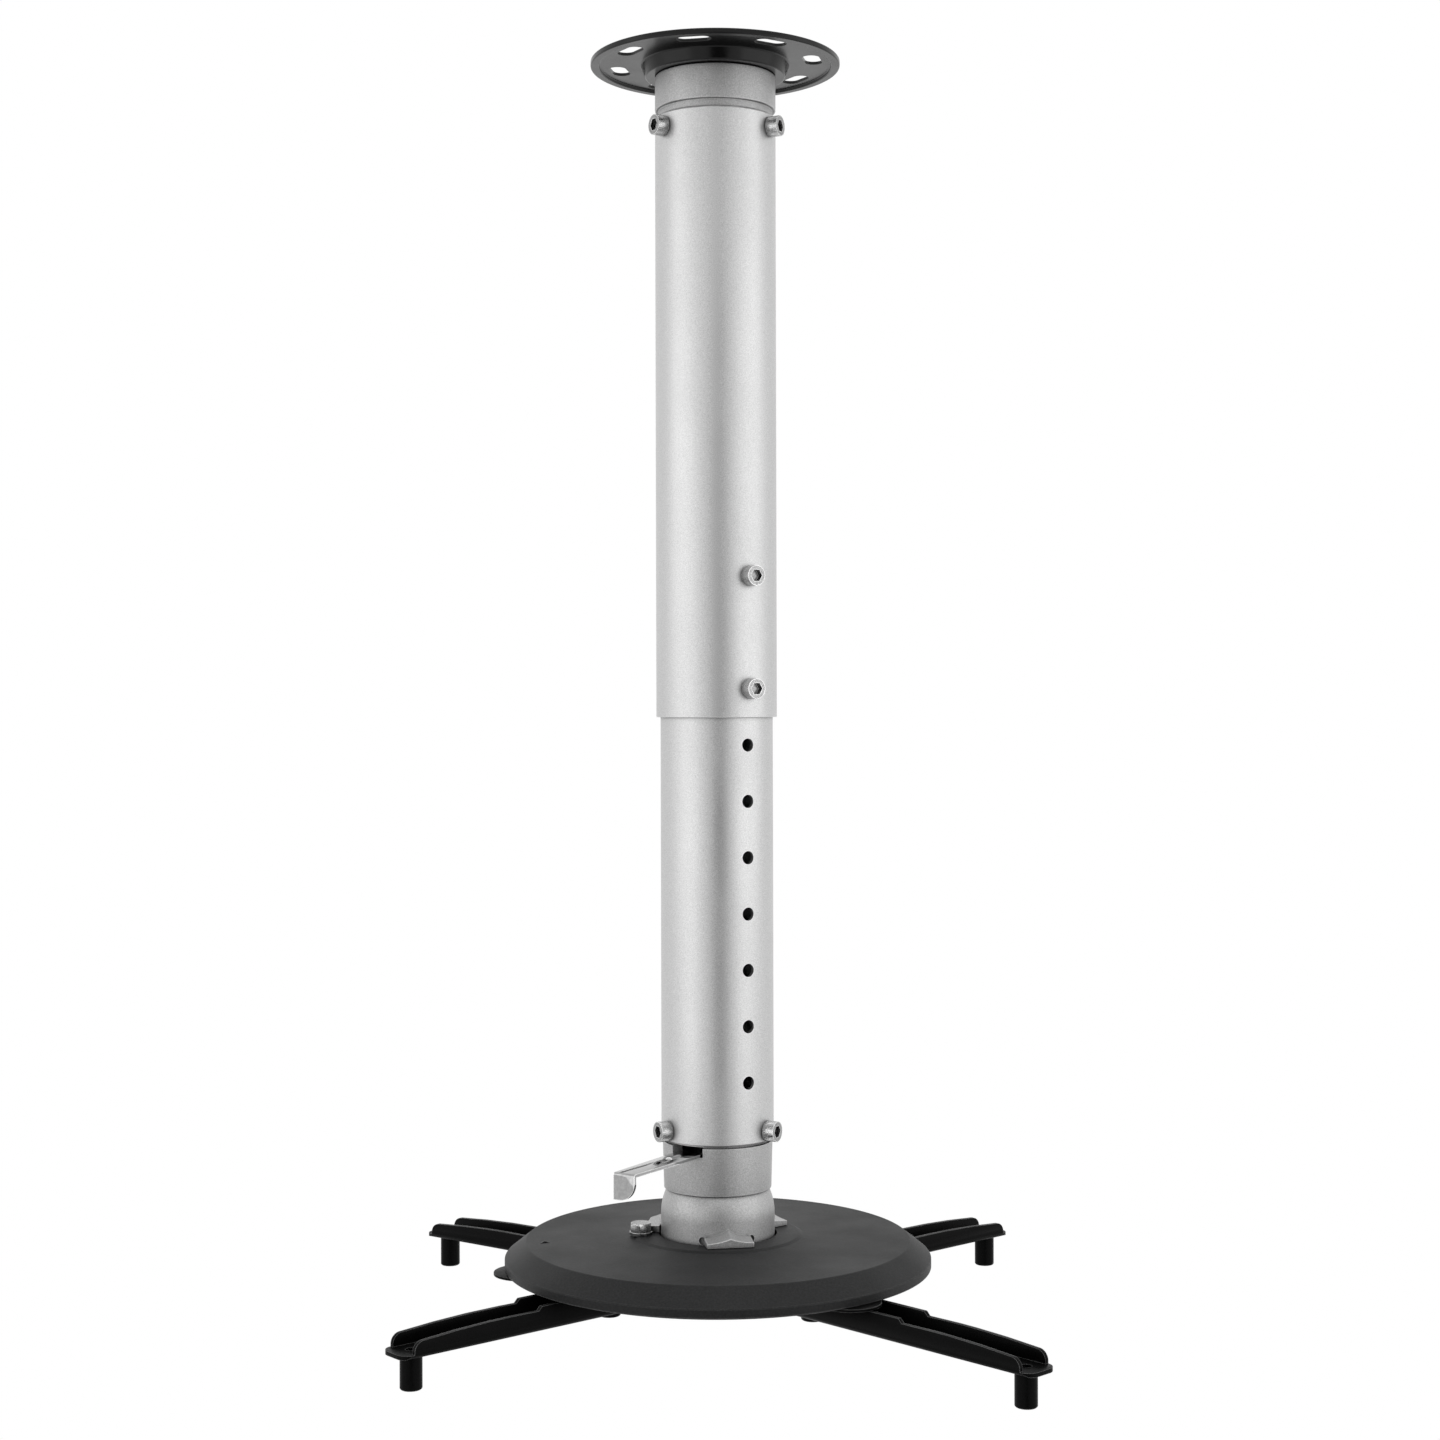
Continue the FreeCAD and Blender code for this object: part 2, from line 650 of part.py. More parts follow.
def lock_bolt():
    at = polar(lock_circle_r, lock_azimuth)
    seat = cover_level + washer_sheet
    head = hexagon_prism(lock_across_flats, seat, seat + lock_head_height, at)
    crown = Part.makeCone(lock_across_flats / 2 + 3.6, lock_across_flats / 2 - 0.2, 3.8,
                          V(at.x, at.y, seat + lock_head_height - 3.8))
    head = head.common(crown.fuse(rod(lock_across_flats, seat, seat + lock_head_height - 3.8, at)))
    return head.fuse(rod(lock_bolt_r, base_end, seat, at))


def lock_washer():
    at = polar(lock_circle_r, lock_azimuth)
    return ring(lock_bolt_r + fit_gap, lock_washer_r, cover_level, cover_level + washer_sheet, at)


def lock_sleeve():
    """Distance sleeve that keeps the bolt from crushing the cover."""
    at = polar(lock_circle_r, lock_azimuth)
    return ring(lock_bolt_r + fit_gap, lock_sleeve_r, base_top, cover_level - cover_wall - 0.4, at)


def foot_place(pivot_azimuth, direction, reach):
    """Where an arm's foot is, from its pivot, its direction and its reach."""
    return polar(pivot_circle_r, pivot_azimuth) + polar(reach, direction)


def arm_section():
    """Cross-section of the folded channel, round at its two outer folds."""
    w = arm_half_width
    inner = w - arm_sheet
    r = arm_fold_r
    s = r * (1 - math.sin(math.radians(45)))
    low = arm_floor_end
    left, right = V(-w, 0, low + r), V(w, 0, low + r)
    return Part.Face(Part.Wire([
        line(left, V(-w, 0, arm_top)), line(V(-w, 0, arm_top), V(-inner, 0, arm_top)),
        line(V(-inner, 0, arm_top), V(-inner, 0, arm_floor)),
        line(V(-inner, 0, arm_floor), V(inner, 0, arm_floor)),
        line(V(inner, 0, arm_floor), V(inner, 0, arm_top)), line(V(inner, 0, arm_top), V(w, 0, arm_top)),
        line(V(w, 0, arm_top), right),
        Part.Arc(right, V(w - s, 0, low + s), V(w - r, 0, low)).toShape(),
        line(V(w - r, 0, low), V(-w + r, 0, low)),
        Part.Arc(V(-w + r, 0, low), V(-w + s, 0, low + s), left).toShape()]))


def arm_side(root):
    """Side outline: a flat tongue, walls that rise towards the root and step up near the cover."""
    end = -arm_wall_past_foot
    tip_top = arm_floor + arm_tip_wall
    step = arm_step_from_foot
    outboard = arm_top - arm_step
    q = arm_wall_end_r
    s = q * (1 - math.sin(math.radians(45)))
    crown = V(0, step * 0.4, outboard - 0.45 * (outboard - tip_top) + 0.5)
    return Part.Face(Part.Wire([
        line(V(0, -arm_tongue, arm_floor), V(0, end, arm_floor)),
        line(V(0, end, arm_floor), V(0, end, tip_top - q)),
        Part.Arc(V(0, end, tip_top - q), V(0, end + s, tip_top - s), V(0, end + q, tip_top)).toShape(),
        Part.Arc(V(0, end + q, tip_top), crown, V(0, step, outboard)).toShape(),
        line(V(0, step, outboard), V(0, step + arm_step, arm_top)),
        line(V(0, step + arm_step, arm_top), V(0, root - q, arm_top)),
        line(V(0, root - q, arm_top), V(0, root, arm_top - q)),
        line(V(0, root, arm_top - q), V(0, root, arm_floor_end)),
        line(V(0, root, arm_floor_end), V(0, -arm_tongue, arm_floor_end)),
        line(V(0, -arm_tongue, arm_floor_end), V(0, -arm_tongue, arm_floor))]))


def arm_channel():
    """An arm with its foot at the origin and its root towards +Y: a channel open at the top."""
    root = slot_furthest + sleeve_r + arm_slot_margin
    w = arm_half_width
    channel = arm_section().extrude(V(0, root + arm_tongue, 0))
    channel.translate(V(0, -arm_tongue, 0))
    side = arm_side(root).extrude(V(2 * w + 2, 0, 0))
    side.translate(V(-w - 1, 0, 0))
    arm = channel.common(side)
    r = arm_tongue_corner_r
    for end in (-1, 1):
        corner = Part.makeBox(2 * r, 2 * r, 2 * arm_sheet + 1, V(-r, -2 * r, arm_floor_end - 1))
        corner = corner.cut(rod(r, arm_floor_end - 2, arm_floor + 2))
        corner = corner.common(Part.makeBox(2 * r, r, 2 * arm_sheet + 1, V(0 if end > 0 else -2 * r, -r, arm_floor_end - 1)))
        corner.translate(V(end * (w - r), -arm_tongue + r, 0))
        arm = arm.cut(corner)
    width = 2 * (sleeve_r + fit_gap)
    slot = stadium(slot_furthest - slot_nearest + width, width, arm_floor_end - 1, arm_floor + 1)
    slot.rotate(ORIGIN, UP, 90)
    slot.translate(V(0, (slot_nearest + slot_furthest) / 2, 0))
    arm = arm.cut(slot)
    return arm.cut(rod(foot_bore_r + 0.25, arm_floor_end - 1, arm_floor + 1))


def placed_arm(shape, pivot_azimuth, direction, reach):
    placed = turned(shape, direction)
    placed.translate(foot_place(pivot_azimuth, direction, reach))
    return placed


def foot_bush(at):
    """Stand-off under an arm's tip, a turned bush with a broken lower edge."""
    low = arm_floor_end - foot_length
    bush = rod(foot_r, low, arm_floor_end, at)
    lower = [e for e in bush.Edges if e.BoundBox.ZMax < low + 0.01]
    bush = bush.makeChamfer(foot_rim, lower)
    return bush.cut(rod(foot_bore_r, low - 1, arm_floor_end + 1, at))


def pivot_sleeve(at):
    """Shouldered sleeve: the shoulder keeps the arm's floor down, the spigot runs in its slot."""
    shoulder = rod(shoulder_r, arm_floor + face_gap, base_end, at)
    spigot = rod(sleeve_r, arm_floor_end - face_gap, arm_floor + face_gap, at)
    return shoulder.fuse(spigot).cut(rod(pivot_screw_r + fit_gap, arm_floor_end - 1, base_end + 1, at))


def pivot_screw(at):
    seat = arm_floor_end - face_gap
    head = rod(pivot_head_r, seat - pivot_head_height, seat, at)
    lower = [e for e in head.Edges if e.BoundBox.ZMax < seat - pivot_head_height + 0.01]
    head = head.makeFillet(1.2, lower)
    head = head.cut(hexagon_prism(3.0, seat - pivot_head_height - 1, seat - 0.8, at))
    return head.fuse(rod(pivot_screw_r, seat, base_top, at))


nodes = {
    "ceiling_plate": ceiling_plate(),
    "upper_collar": upper_collar(),
    "centre_bolt": centre_bolt(),
    "centre_washer": centre_washer(),
    "centre_nut": centre_nut(),
    "outer_tube": outer_tube(),
    "upper_screws": upper_screws(),
    "clamp_screws": clamp_screws(),
    "inner_tube": inner_tube(),
    "lower_collar": lower_collar(),
    "lower_screws": lower_screws(),
    "clamp_bolt": clamp_bolt(),
    "clamp_nut": clamp_nut(),
    "clamp_lever": clamp_lever(),
    "friction_liner": friction_liner(),
    "pressure_cup": pressure_cup(),
    "ball_hub": ball_hub(),
    "hub_screws": hub_screws(),
    "cover_disc": cover_disc(),
    "base_plate": base_plate(),
    "lock_bolt": lock_bolt(),
    "lock_washer": lock_washer(),
    "lock_sleeve": lock_sleeve(),
}
channel = arm_channel()
for name, placing in arms.items():
    foot_at = foot_place(*placing)
    pivot_at = polar(pivot_circle_r, placing[0])
    nodes["arm_" + name] = placed_arm(channel, *placing)
    nodes["standoff_" + name] = foot_bush(foot_at)
    nodes["pivot_sleeve_" + name] = pivot_sleeve(pivot_at)
    nodes["pivot_screw_" + name] = pivot_screw(pivot_at)

os.makedirs("parts", exist_ok=True)
for name, shape in nodes.items():
    shape.exportStep("parts/" + name + ".step")
    box = shape.BoundBox
    print("%-26s solids %d valid %s z %.1f..%.1f volume %.0f" % (
        name, len(shape.Solids), shape.isValid(), box.ZMin, box.ZMax, shape.Volume))
print("levels: tube top %.1f, outer end %.1f, inner end %.1f, ball %.1f, cover %.1f, base %.1f, feet %.1f" % (
    tube_top, outer_tube_end, inner_tube_end, ball_level, cover_level, base_end, arm_floor_end - foot_length))
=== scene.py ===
# %% [markdown]
# # A projector ceiling mount in a white studio
#
# The real object is a ceiling plate, two steel tubes that slide in each other, a ball joint with a
# small chrome lever, a round cover and four black arms. The measured parts come from the CAD frame.
# This file gives them their finish. A cell of text comes before each step, and it says what the step
# makes, how else it could be made and why this way was chosen.

# %% Start
import json
import math
import bmesh
import bpy
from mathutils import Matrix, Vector

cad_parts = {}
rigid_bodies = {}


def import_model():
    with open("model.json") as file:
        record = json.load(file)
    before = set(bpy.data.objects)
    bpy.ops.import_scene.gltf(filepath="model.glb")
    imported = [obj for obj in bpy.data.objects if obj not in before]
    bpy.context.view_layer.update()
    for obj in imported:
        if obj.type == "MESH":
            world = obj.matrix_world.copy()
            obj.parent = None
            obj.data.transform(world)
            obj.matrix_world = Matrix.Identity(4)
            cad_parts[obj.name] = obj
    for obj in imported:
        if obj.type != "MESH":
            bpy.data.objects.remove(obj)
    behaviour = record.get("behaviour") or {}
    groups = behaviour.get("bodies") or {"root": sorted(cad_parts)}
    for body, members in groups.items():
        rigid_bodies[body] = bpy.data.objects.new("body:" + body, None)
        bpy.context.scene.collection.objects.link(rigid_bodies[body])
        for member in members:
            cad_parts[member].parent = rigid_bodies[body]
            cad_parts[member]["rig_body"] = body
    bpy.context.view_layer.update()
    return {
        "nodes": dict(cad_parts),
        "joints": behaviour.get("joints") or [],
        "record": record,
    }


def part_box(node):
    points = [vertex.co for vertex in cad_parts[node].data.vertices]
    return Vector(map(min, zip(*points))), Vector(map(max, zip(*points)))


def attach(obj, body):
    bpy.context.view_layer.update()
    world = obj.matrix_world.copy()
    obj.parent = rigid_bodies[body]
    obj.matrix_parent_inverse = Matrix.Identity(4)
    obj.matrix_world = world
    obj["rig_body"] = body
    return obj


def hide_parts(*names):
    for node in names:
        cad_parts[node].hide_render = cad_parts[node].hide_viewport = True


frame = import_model()
MM = 0.001

# %% [markdown]
# ## The camera
#
# The photo was taken level, at half the height of the tubes. Its lens and place were found by fitting
# the edges of the tubes and discs. A small shift of the lens frames the object, as a studio camera
# does, so the tubes stay upright in the picture. Tilting the camera would make them lean.

# %% Camera
PICTURE = 1440
LENS_PIXELS = 2331.4
AXIS_X, HORIZON_Y = 716.6, 694.3
CAMERA_DISTANCE, CAMERA_LEVEL = 1.1613, -0.3145
CAMERA_ROLL = 0.0024  # radians

camera_data = bpy.data.cameras.new("camera")
camera_data.sensor_width = 36.0
camera_data.lens = LENS_PIXELS / PICTURE * camera_data.sensor_width
camera_data.shift_x = (PICTURE / 2 - AXIS_X) / PICTURE
camera_data.shift_y = (HORIZON_Y - PICTURE / 2) / PICTURE
camera = bpy.data.objects.new("camera", camera_data)
bpy.context.scene.collection.objects.link(camera)
camera.location = (0, -CAMERA_DISTANCE, CAMERA_LEVEL)
camera.rotation_euler = (math.radians(90), CAMERA_ROLL, 0)
bpy.context.scene.camera = camera
print("lens", round(camera_data.lens, 1))

# %% [markdown]
# ## The studio
#
# The background is plain white and the object hangs free, so the floor lies well below it and has no
# shadow in the picture. Two tall soft lamps stand left and right of the camera and one hangs above.
# They put a bright band on each side of the tubes. A black card stands behind the camera, so that the
# middle of the tubes turns darker and they read as round. One lamp at the camera would make them look
# flat. A tiny card behind the object puts a dark streak on the chrome lever. The camera doesn't see
# the cards themselves, so views from the back stay white too.

# %% World
def seen_rays(tree):
    """Is 1 for rays of the camera and for what metal and clear things show of the background."""
    rays = tree.nodes.new("ShaderNodeLightPath").outputs
    total = rays["Is Camera Ray"]
    for ray in ("Is Glossy Ray", "Is Transmission Ray"):
        top = tree.nodes.new("ShaderNodeMath")
        top.operation = "MAXIMUM"
        tree.links.new(total, top.inputs[0])
        tree.links.new(rays[ray], top.inputs[1])
        total = top.outputs[0]
    return total

def white_to_camera(tree, other, strength):
    """A strength that is 1 for what the camera sees and less for the light on the object."""
    total = seen_rays(tree)
    mix = tree.nodes.new("ShaderNodeMix")
    mix.inputs["A"].default_value = other
    mix.inputs["B"].default_value = 1.0
    tree.links.new(total, mix.inputs["Factor"])
    tree.links.new(mix.outputs["Result"], strength)

WORLD_LIGHT = 0.42
world = bpy.data.worlds.new("studio")
bpy.context.scene.world = world
world.use_nodes = True
background = world.node_tree.nodes["Background"]
background.inputs["Color"].default_value = (1, 1, 1, 1)
white_to_camera(world.node_tree, WORLD_LIGHT, background.inputs["Strength"])
print("world light:", WORLD_LIGHT)

# %% Lamps
MIDDLE = (0, 0, -0.32)

def lamp(name, place, width, height, power):
    """A soft lamp that faces the middle of the mount."""
    data = bpy.data.lights.new(name, "AREA")
    data.shape = "RECTANGLE"
    data.size, data.size_y, data.energy = width, height, power
    one = bpy.data.objects.new(name, data)
    bpy.context.scene.collection.objects.link(one)
    one.location = place
    one.rotation_euler = (Vector(MIDDLE) - Vector(place)).to_track_quat("-Z", "Z").to_euler()

lamp("lamp_left", (-1.48, -0.72, -0.2), 1.1, 1.8, 4.9)
lamp("lamp_right", (1.5, -0.62, -0.2), 1.1, 1.8, 4.9)
lamp("lamp_top", (0.1, -0.4, 1.2), 1.2, 0.9, 4.5)
print("lamps:", len(bpy.data.lights))

# %% Cards
FELT_SHADE = 0.02

def card(name, place, width, height):
    """A card that faces the mount and darkens what it reflects. The camera looks through it."""
    bpy.ops.mesh.primitive_plane_add(size=1, location=place)
    one = bpy.context.object
    one.name = name
    one.scale = (width, height, 1)
    one.rotation_euler = (Vector(MIDDLE) - Vector(place)).to_track_quat("Z", "Y").to_euler()
    felt = bpy.data.materials.new(name + "_felt")
    felt.use_nodes = True
    nodes, links = felt.node_tree.nodes, felt.node_tree.links
    surface = nodes["Principled BSDF"]
    surface.inputs["Base Color"].default_value = (FELT_SHADE, FELT_SHADE, FELT_SHADE, 1)
    surface.inputs["Roughness"].default_value = 1.0
    unseen = nodes.new("ShaderNodeMixShader")
    links.new(nodes.new("ShaderNodeLightPath").outputs["Is Camera Ray"], unseen.inputs["Fac"])
    links.new(surface.outputs[0], unseen.inputs[1])
    links.new(nodes.new("ShaderNodeBsdfTransparent").outputs[0], unseen.inputs[2])
    links.new(unseen.outputs[0], nodes["Material Output"].inputs["Surface"])
    one.data.materials.append(felt)

card("card_front", (0.2, -1.9, -0.85), 0.95, 2.3)
card("card_lever", (-0.17, 1.9, -0.135), 0.13, 0.09)

# %% Floor
FLOOR_LEVEL = -1.25

bpy.ops.mesh.primitive_plane_add(size=14, location=(0, 0, FLOOR_LEVEL))
floor = bpy.context.object
floor.name = "studio_floor"
paper = bpy.data.materials.new("white_paper")
paper.use_nodes = True
nodes, links = paper.node_tree.nodes, paper.node_tree.links
shader = nodes["Principled BSDF"]
shader.inputs["Base Color"].default_value = (0.9, 0.9, 0.9, 1)
shader.inputs["Roughness"].default_value = 0.9
glow = nodes.new("ShaderNodeEmission")
blend = nodes.new("ShaderNodeMixShader")
links.new(seen_rays(paper.node_tree), blend.inputs["Fac"])
links.new(shader.outputs[0], blend.inputs[1])
links.new(glow.outputs[0], blend.inputs[2])
links.new(blend.outputs[0], nodes["Material Output"].inputs["Surface"])
floor.data.materials.append(paper)
bpy.context.scene.view_settings.view_transform = "Standard"
print("studio ready")

# %% [markdown]
# ## Shared effects for the finishes
#
# A coat of paint is never one flat colour, and the light on it is not even, so three effects go into
# each coat. The first is a fine grain, with slow cloudy changes of gloss. The second lightens the
# edges, a painted highlight mixed with rubbed wear in patches: the Bevel node gives the normal of a
# rounded surface, and where it turns away from the true normal there is an edge. Pointiness would find
# edges too, but it spreads over the large faces of a plain mesh. The third is painted shade in the
# seams, which the
# Ambient Occlusion node finds. Each effect is a node group with named sockets, built once and placed in
# every material with its own values, because copies of the same nodes would be hard to keep alike. The
# patterns read Object coordinates, so they stay on the surface from every side.

# %% Helpers for node groups
def new_group(name, inputs, outputs):
    """A shader node group with named numbers going in and coming out, and its two end nodes."""
    tree = bpy.data.node_groups.new(name, "ShaderNodeTree")
    for label, value in inputs.items():
        socket = tree.interface.new_socket(label, in_out="INPUT", socket_type="NodeSocketFloat")
        socket.default_value = value
    for label in outputs:
        tree.interface.new_socket(label, in_out="OUTPUT", socket_type="NodeSocketFloat")
    return tree, tree.nodes.new("NodeGroupInput"), tree.nodes.new("NodeGroupOutput")

def noise(tree, scale, detail, roughness=0.5):
    """A noise pattern on Object coordinates, its scale led in by a socket."""
    node = tree.nodes.new("ShaderNodeTexNoise")
    node.inputs["Detail"].default_value = detail
    node.inputs["Roughness"].default_value = roughness
    tree.links.new(scale, node.inputs["Scale"])
    place = tree.nodes.new("ShaderNodeTexCoord").outputs["Object"]
    tree.links.new(place, node.inputs["Vector"])
    return node.outputs["Fac"]

def spread(tree, value, low, high, to_low=0.0, to_high=1.0):
    """Stretches the values between low and high over another range, and clips the rest."""
    node = tree.nodes.new("ShaderNodeMapRange")
    for socket, end in (("From Min", low), ("From Max", high), ("To Min", to_low), ("To Max", to_high)):
        node.inputs[socket].default_value = end
    tree.links.new(value, node.inputs["Value"])
    return node.outputs["Result"]

# %% Grain group
grain_group, source, sink = new_group(
    "coat_grain", {"Grain Scale": 2200.0, "Cloud Scale": 35.0}, ["Grain", "Cloud"])
fine = noise(grain_group, source.outputs["Grain Scale"], 2.0, 0.6)
slow = noise(grain_group, source.outputs["Cloud Scale"], 4.0)
grain_group.links.new(spread(grain_group, fine, 0.32, 0.68), sink.inputs["Grain"])
grain_group.links.new(spread(grain_group, slow, 0.3, 0.7), sink.inputs["Cloud"])
print("group:", grain_group.name)

# %% Edge group
# Lightens edges: a painted highlight mixed with rubbed wear, where the Bevel normal turns away.
edge_group, source, sink = new_group(
    "edge_highlight_and_wear", {"Width": 0.0005, "Start": 0.01, "End": 0.12, "Breakup": 90.0}, ["Edge"])
rounded = edge_group.nodes.new("ShaderNodeBevel")
rounded.samples = 6
edge_group.links.new(source.outputs["Width"], rounded.inputs["Radius"])
facing = edge_group.nodes.new("ShaderNodeVectorMath")
facing.operation = "DOT_PRODUCT"
edge_group.links.new(rounded.outputs["Normal"], facing.inputs[0])
geometry = edge_group.nodes.new("ShaderNodeNewGeometry")
edge_group.links.new(geometry.outputs["Normal"], facing.inputs[1])
turned = edge_group.nodes.new("ShaderNodeMath")
turned.operation = "SUBTRACT"
turned.inputs[0].default_value = 1.0
edge_group.links.new(facing.outputs["Value"], turned.inputs[1])

ramp = edge_group.nodes.new("ShaderNodeMapRange")
edge_group.links.new(turned.outputs[0], ramp.inputs["Value"])
edge_group.links.new(source.outputs["Start"], ramp.inputs["From Min"])
edge_group.links.new(source.outputs["End"], ramp.inputs["From Max"])
patches = noise(edge_group, source.outputs["Breakup"], 3.0)
patchy = spread(edge_group, patches, 0.35, 0.65, 0.55, 1.0)
times = edge_group.nodes.new("ShaderNodeMath")
times.operation = "MULTIPLY"
edge_group.links.new(ramp.outputs["Result"], times.inputs[0])
edge_group.links.new(patchy, times.inputs[1])
edge_group.links.new(times.outputs[0], sink.inputs["Edge"])
print("group:", edge_group.name)

# %% Seam group
# Painted shade in seams and hollows, found by ambient occlusion.
seam_group, source, sink = new_group(
    "seam_painted_shade", {"Reach": 0.003, "Open": 0.85, "Closed": 0.25}, ["Seam"])
near = seam_group.nodes.new("ShaderNodeAmbientOcclusion")
near.samples = 6
seam_group.links.new(source.outputs["Reach"], near.inputs["Distance"])
shut = seam_group.nodes.new("ShaderNodeMapRange")
seam_group.links.new(near.outputs["AO"], shut.inputs["Value"])
seam_group.links.new(source.outputs["Open"], shut.inputs["From Min"])
seam_group.links.new(source.outputs["Closed"], shut.inputs["From Max"])
seam_group.links.new(shut.outputs["Result"], sink.inputs["Seam"])
print("group:", seam_group.name)

# %% [markdown]
# ## Eight finishes
# The tubes and castings have a silver coat with fine metal flakes. The ceiling plate is gloss black,
# the arms and the plate under the cover are satin black, and the cover is a grey moulding with a fine
# leather-like grain. Screws are zinc plated, the lever is chromed and the liner in the joint is a
# pale plastic. One function builds them all, because they differ only in numbers: a colour pair, a
# gloss pair, how rough the grain stands up, and the colour of a painted edge highlight with its
# wear. Every coat also gets painted shade in its seams. Eight materials made one by one would
# repeat the same nodes.

# %% One function for all coats
# How dark the painted shade in the seams gets, as a share of the coat's dark colour.
SEAM_SHADE = 0.12

def grey(value, warm=0.0):
    return (value * (1 + warm), value, value * (1 - warm), 1)

def place_group(tree, group, **values):
    """Places a node group and sets its sockets, with _ for the blanks in their names."""
    node = tree.nodes.new("ShaderNodeGroup")
    node.node_tree = group
    for socket, value in values.items():
        node.inputs[socket.replace("_", " ")].default_value = value
    return node

def lay_over(tree, under, colour, mask):
    """One colour laid over another where a mask is white."""
    over = tree.nodes.new("ShaderNodeMix")
    over.data_type = "RGBA"
    over.inputs["B"].default_value = colour
    tree.links.new(mask, over.inputs["Factor"])
    tree.links.new(under, over.inputs["A"])
    return over.outputs["Result"]

def coat(name, dark, light, gloss, metallic=0.0, specular=0.5, grain=2200.0, cloud=35.0,
         relief=0.0, relief_depth=0.05, edge=None, edge_share=1.0, edge_width=0.5,
         edge_range=(0.01, 0.12), seam=0.6):
    """A finish. Widths and depths are in millimetres, and a gloss pair is two roughness values."""
    material = bpy.data.materials.new(name)
    material.use_nodes = True
    tree = material.node_tree
    surface = tree.nodes["Principled BSDF"]
    effect = place_group(tree, grain_group, Grain_Scale=grain, Cloud_Scale=cloud)
    base = tree.nodes.new("ShaderNodeMix")
    base.data_type = "RGBA"
    base.inputs["A"].default_value = dark
    base.inputs["B"].default_value = light
    tree.links.new(effect.outputs["Grain"], base.inputs["Factor"])
    result = base.outputs["Result"]
    # The edge colour is laid on as a painted highlight mixed with rubbed wear.
    if edge:
        edge_sheen_and_wear = place_group(tree, edge_group, Width=edge_width * MM, Start=edge_range[0],
                          End=edge_range[1])
        mask = spread(tree, edge_sheen_and_wear.outputs["Edge"], 0.0, 1.0, 0.0, edge_share)
        result = lay_over(tree, result, edge, mask)
    # Painted shade: the colour darkens where ambient occlusion finds seams and hollows.
    crevice_shade = place_group(tree, seam_group)
    shade = tuple(SEAM_SHADE * channel for channel in dark[:3]) + (1,)
    result = lay_over(tree, result, shade, spread(tree, crevice_shade.outputs["Seam"], 0.0, 1.0, 0.0, seam))
    tree.links.new(result, surface.inputs["Base Color"])
    roughness = spread(tree, effect.outputs["Cloud"], 0.0, 1.0, *gloss)
    tree.links.new(roughness, surface.inputs["Roughness"])
    surface.inputs["Metallic"].default_value = metallic
    surface.inputs["Specular IOR Level"].default_value = specular
    if relief:
        bump = tree.nodes.new("ShaderNodeBump")
        bump.inputs["Strength"].default_value = relief
        bump.inputs["Distance"].default_value = relief_depth * MM
        tree.links.new(effect.outputs["Grain"], bump.inputs["Height"])
        tree.links.new(bump.outputs["Normal"], surface.inputs["Normal"])
    return material

# %% The finishes
# Each edge colour below is a painted highlight mixed with wear, and every coat gets painted shade in
# its seams.
silver = coat("silver_coat", grey(0.49), grey(0.73), (0.38, 0.45), metallic=0.8, grain=2600,
              cloud=25, relief=0.22, edge=grey(0.9), edge_share=0.7, edge_width=0.7,
              edge_range=(0.01, 0.06))
cast_silver = coat("cast_silver_coat", grey(0.37), grey(0.58), (0.42, 0.52), metallic=0.75, grain=1900,
                   cloud=60, relief=0.4, relief_depth=0.08, edge=grey(0.88), edge_share=0.8,
                   edge_width=0.7, edge_range=(0.01, 0.06), seam=0.95)
gloss_black = coat("gloss_black_coat", grey(0.002), grey(0.005), (0.2, 0.28), specular=0.24,
                   grain=900, cloud=50, relief=0.05, edge=grey(0.12), edge_share=0.8)
satin_black = coat("satin_black_coat", grey(0.002), grey(0.005), (0.3, 0.42), specular=0.045,
                   grain=1400, cloud=60, relief=0.3, edge=grey(0.3), edge_share=0.9)
grey_moulding = coat("grey_moulding", grey(0.012, -0.02), grey(0.023, -0.02), (0.5, 0.6),
                     specular=0.21, grain=1100, cloud=30, relief=0.5, relief_depth=0.1,
                     edge=grey(0.16), edge_width=0.9, edge_range=(0.014, 0.04))
zinc = coat("zinc_plate", grey(0.22), grey(0.38), (0.14, 0.22), metallic=1.0, grain=1200, cloud=220,
            relief=0.12, relief_depth=0.03, edge=grey(0.95), edge_width=0.7,
            edge_range=(0.01, 0.05), seam=0.9)
chrome = coat("chrome_plate", grey(0.33), grey(0.4), (0.05, 0.1), metallic=1.0, grain=600, cloud=90,
              relief=0.012, relief_depth=0.02, edge=grey(0.97), edge_width=0.7,
              edge_range=(0.01, 0.05), seam=0.9)
liner_plastic = coat("liner_plastic", grey(0.7, 0.02), grey(0.8, 0.02), (0.4, 0.5), cloud=40)
print("finishes:", sorted(material.name for material in bpy.data.materials))

# %% A finish for each CAD node
finish_of_slot = {
    "silver_coat": silver, "gloss_black": gloss_black, "black_coat": satin_black, "zinc": zinc,
    "chrome_plate": chrome, "cover_plastic": grey_moulding, "liner_plastic": liner_plastic,
}
slot_of_node = {row["node"]: row["material_slot"] for row in frame["record"]["subparts"]}
CAST_NODES = ("upper_collar", "lower_collar", "ball_hub")

def finish_of(node):
    return cast_silver if node in CAST_NODES else finish_of_slot[slot_of_node[node]]

for name, cad_node in frame["nodes"].items():
    cad_node.data.materials.clear()
    cad_node.data.materials.append(finish_of(name))
print("dressed CAD nodes:", len(frame["nodes"]))

# %% [markdown]
# ## Tools for modelling
#
# Most pieces here were turned, pressed or cast round one axis. By hand one would draw half of the
# section and spin it, so the helper `lathe` does the same: it starts from a plane merged to one point,
# extrudes that point along the section and spins the line about Z. Adding a cylinder and pushing its
# rings about would need more steps and give no control of the section. Booleans then cut the holes,
# and a Bevel modifier breaks the edges, because no real edge is perfectly sharp.

# %% Selecting, settling and turning
SMOOTH_ANGLE = 32
WELD = 1e-6

